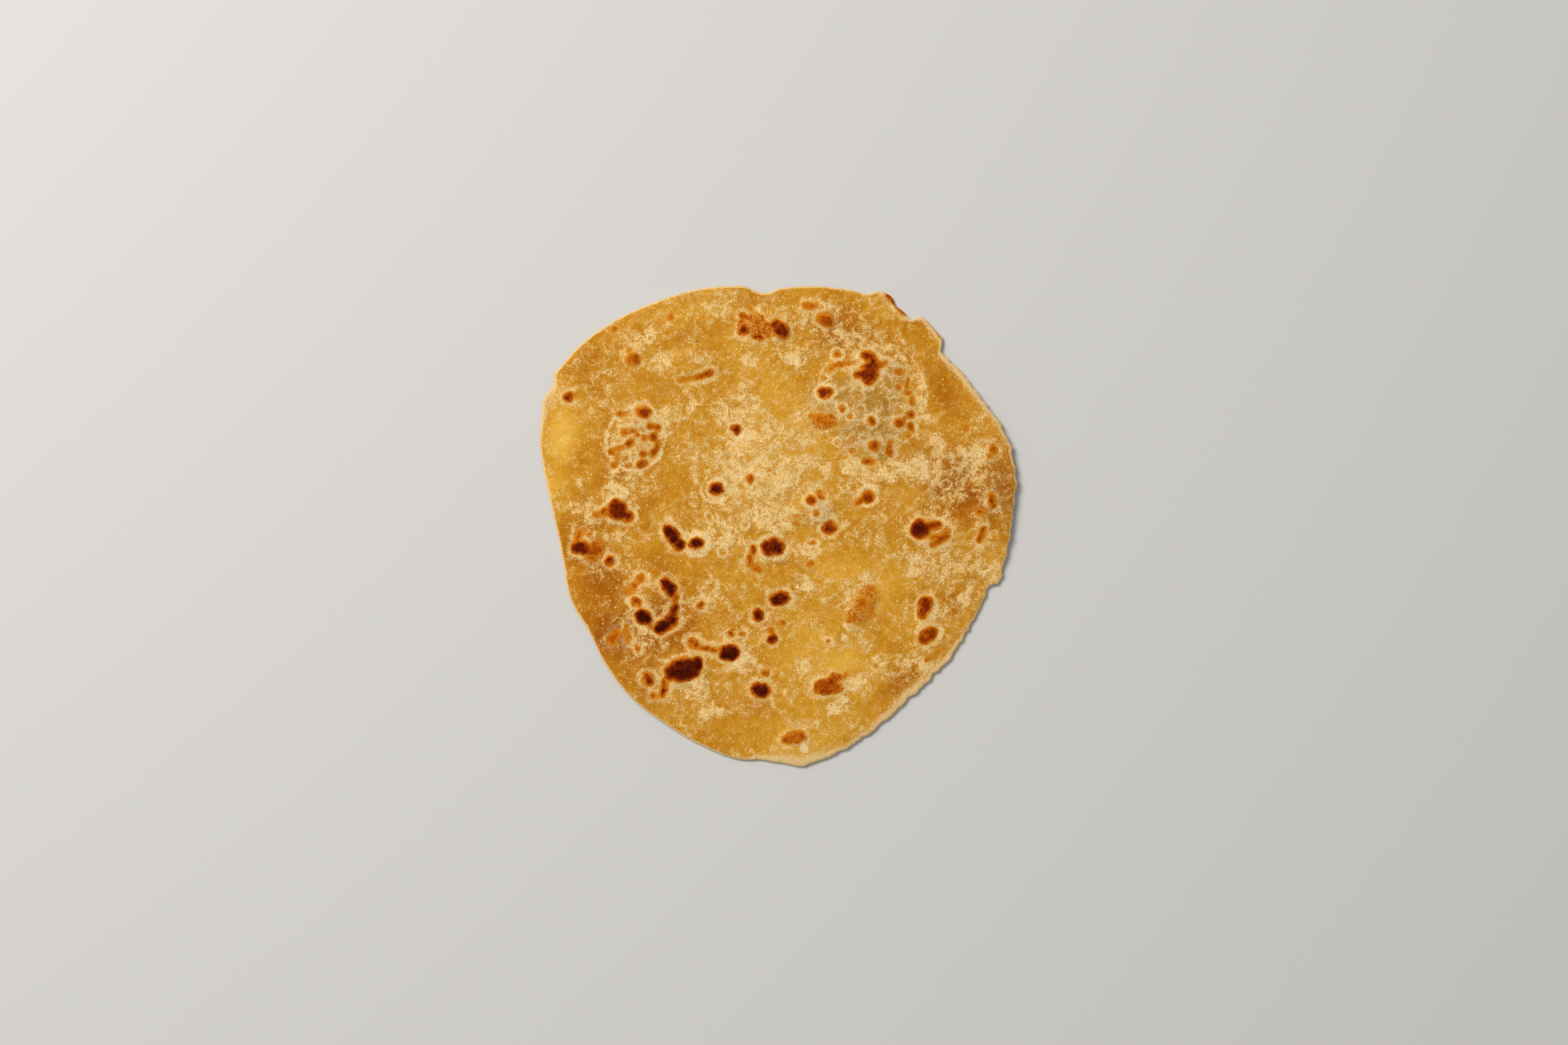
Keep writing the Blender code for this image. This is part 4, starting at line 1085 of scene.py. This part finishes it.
def flour_grains(skin, finish):
    """Loose grains of flour, close together where the skin is floured and none on the spots."""
    growth = Growth("flour_sprinkling")
    density = growth.named_input("Grains per square metre", "Float", GRAIN_DENSITY)
    seed = growth.named_input("Seed", "Int", GRAIN_SEED)
    smallest = growth.named_input("Smallest radius", "Float", SMALLEST_GRAIN * MM)
    largest = growth.named_input("Largest radius", "Float", LARGEST_GRAIN * MM)
    flatness = growth.named_input("Flatness", "Float", GRAIN_FLATNESS)
    material = growth.named_input("Finish", "Material", finish)
    near, clear_of = CLEAR_OF_SPOTS
    off_spots = {"Value": growth.field("burn"), "From Min": near, "From Max": clear_of}
    clear = growth.node("ShaderNodeMapRange", off_spots).outputs[0]
    everywhere = {0: growth.field("flour"), 1: STRAY_GRAINS}
    flour = growth.node("ShaderNodeMath", everywhere, operation="ADD").outputs[0]
    amount = growth.product(growth.product(flour, clear), density)
    normal = growth.node("GeometryNodeInputNormal", {}).outputs[0]
    lift = growth.node("ShaderNodeSeparateXYZ", {0: normal}).outputs["Z"]
    inputs = {0: lift, 1: FACING_UP}
    upper = growth.node("FunctionNodeCompare", inputs, data_type="FLOAT", operation="GREATER_THAN")
    inputs = {"Mesh": growth.start.outputs["Bread"], "Selection": upper.outputs[0], "Density": amount}
    scatter = growth.node("GeometryNodeDistributePointsOnFaces", {**inputs, "Seed": seed})
    grains_on(growth, scatter.outputs["Points"], material, smallest, largest, flatness, seed)
    return growth.grown(placed("flour_grains", skin.copy()))


def surface_height(skin, x, y):
    """Height of the bread's upper face over a place, in metres."""
    points = np.empty(3 * len(skin.vertices))
    skin.vertices.foreach_get("co", points)
    points = points.reshape(-1, 3)[: (2 * UPPER_RINGS + 1) ** 2]
    return points[np.argmin(np.hypot(points[:, 0] - x, points[:, 1] - y)), 2]


def bran_flecks(skin, shift, finish):
    """A few charred specks of bran that lie on the skin, each of its own size."""
    places = []
    for x, y, _ in BLACK_FLECKS:
        place_x, place_y = (x - shift[0]) * MM, (y - shift[1]) * MM
        places.append((place_x, place_y, surface_height(skin, place_x, place_y)))
    host = bpy.data.meshes.new("fleck_places")
    host.from_pydata(places, [], [])
    sizes = [radius * MM for _, _, radius in BLACK_FLECKS]
    host.attributes.new("size", "FLOAT", "POINT").data.foreach_set("value", sizes)
    growth = Growth("bran_scatter")
    seed = growth.named_input("Seed", "Int", FLECK_SEED)
    material = growth.named_input("Finish", "Material", finish)
    flatness = growth.named_input("Flatness", "Float", FLECK_FLATNESS)
    points = growth.node("GeometryNodeMeshToPoints", {"Mesh": growth.start.outputs["Bread"]}).outputs[0]
    own_size = growth.field("size")
    grains_on(growth, points, material, own_size, own_size, flatness, seed)
    return growth.grown(placed("bran_flecks", host))


# ---------------------------------------------------------------- stage
def build_stage():
    """Pale floor, soft key light from the back left, even sky, and the camera above."""
    half = FLOOR_HALF_SIDE
    floor = bpy.data.meshes.new("floor")
    corners = [(-half, -half, 0), (half, -half, 0), (half, half, 0), (-half, half, 0)]
    floor.from_pydata(corners, [], [(0, 1, 2, 3)])
    floor.materials.append(floor_finish())
    placed("floor", floor)
    key = bpy.data.lights.new("key", "AREA")
    key.energy = KEY_POWER
    key.shape = "DISK"
    key.size = KEY_SIZE
    key.color = KEY_COLOUR
    lamp = placed("key", key)
    lamp.location = KEY_FROM
    lamp.rotation_euler = (-Vector(KEY_FROM)).to_track_quat("-Z", "Y").to_euler()
    world = bpy.data.worlds.new("studio")
    world.use_nodes = True
    sky = world.node_tree.nodes["Background"]
    sky.inputs["Color"].default_value = SKY_COLOUR
    sky.inputs["Strength"].default_value = SKY_STRENGTH
    bpy.context.scene.world = world
    lens = bpy.data.cameras.new("camera")
    lens.lens = CAMERA_LENS
    camera = placed("camera", lens)
    elevation = np.radians(CAMERA_ELEVATION)
    reach = Vector((0.0, -np.cos(elevation), np.sin(elevation))) * CAMERA_DISTANCE
    camera.location = Vector(CAMERA_AIM) + reach
    camera.rotation_euler = (np.pi / 2 - elevation, 0.0, 0.0)
    bpy.context.scene.camera = camera
    bpy.context.scene.view_settings.view_transform = "Standard"


def main():
    skin, shift = bread_mesh()
    skin.materials.append(Crust().finished())
    bread = placed("chapati_bread", skin)
    flour = flour_grains(skin, flour_finish())
    bran = bran_flecks(skin, shift, bran_finish())
    for piece in (bread, flour, bran):
        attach(piece, "root")
    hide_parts("chapati")
    build_stage()


main()
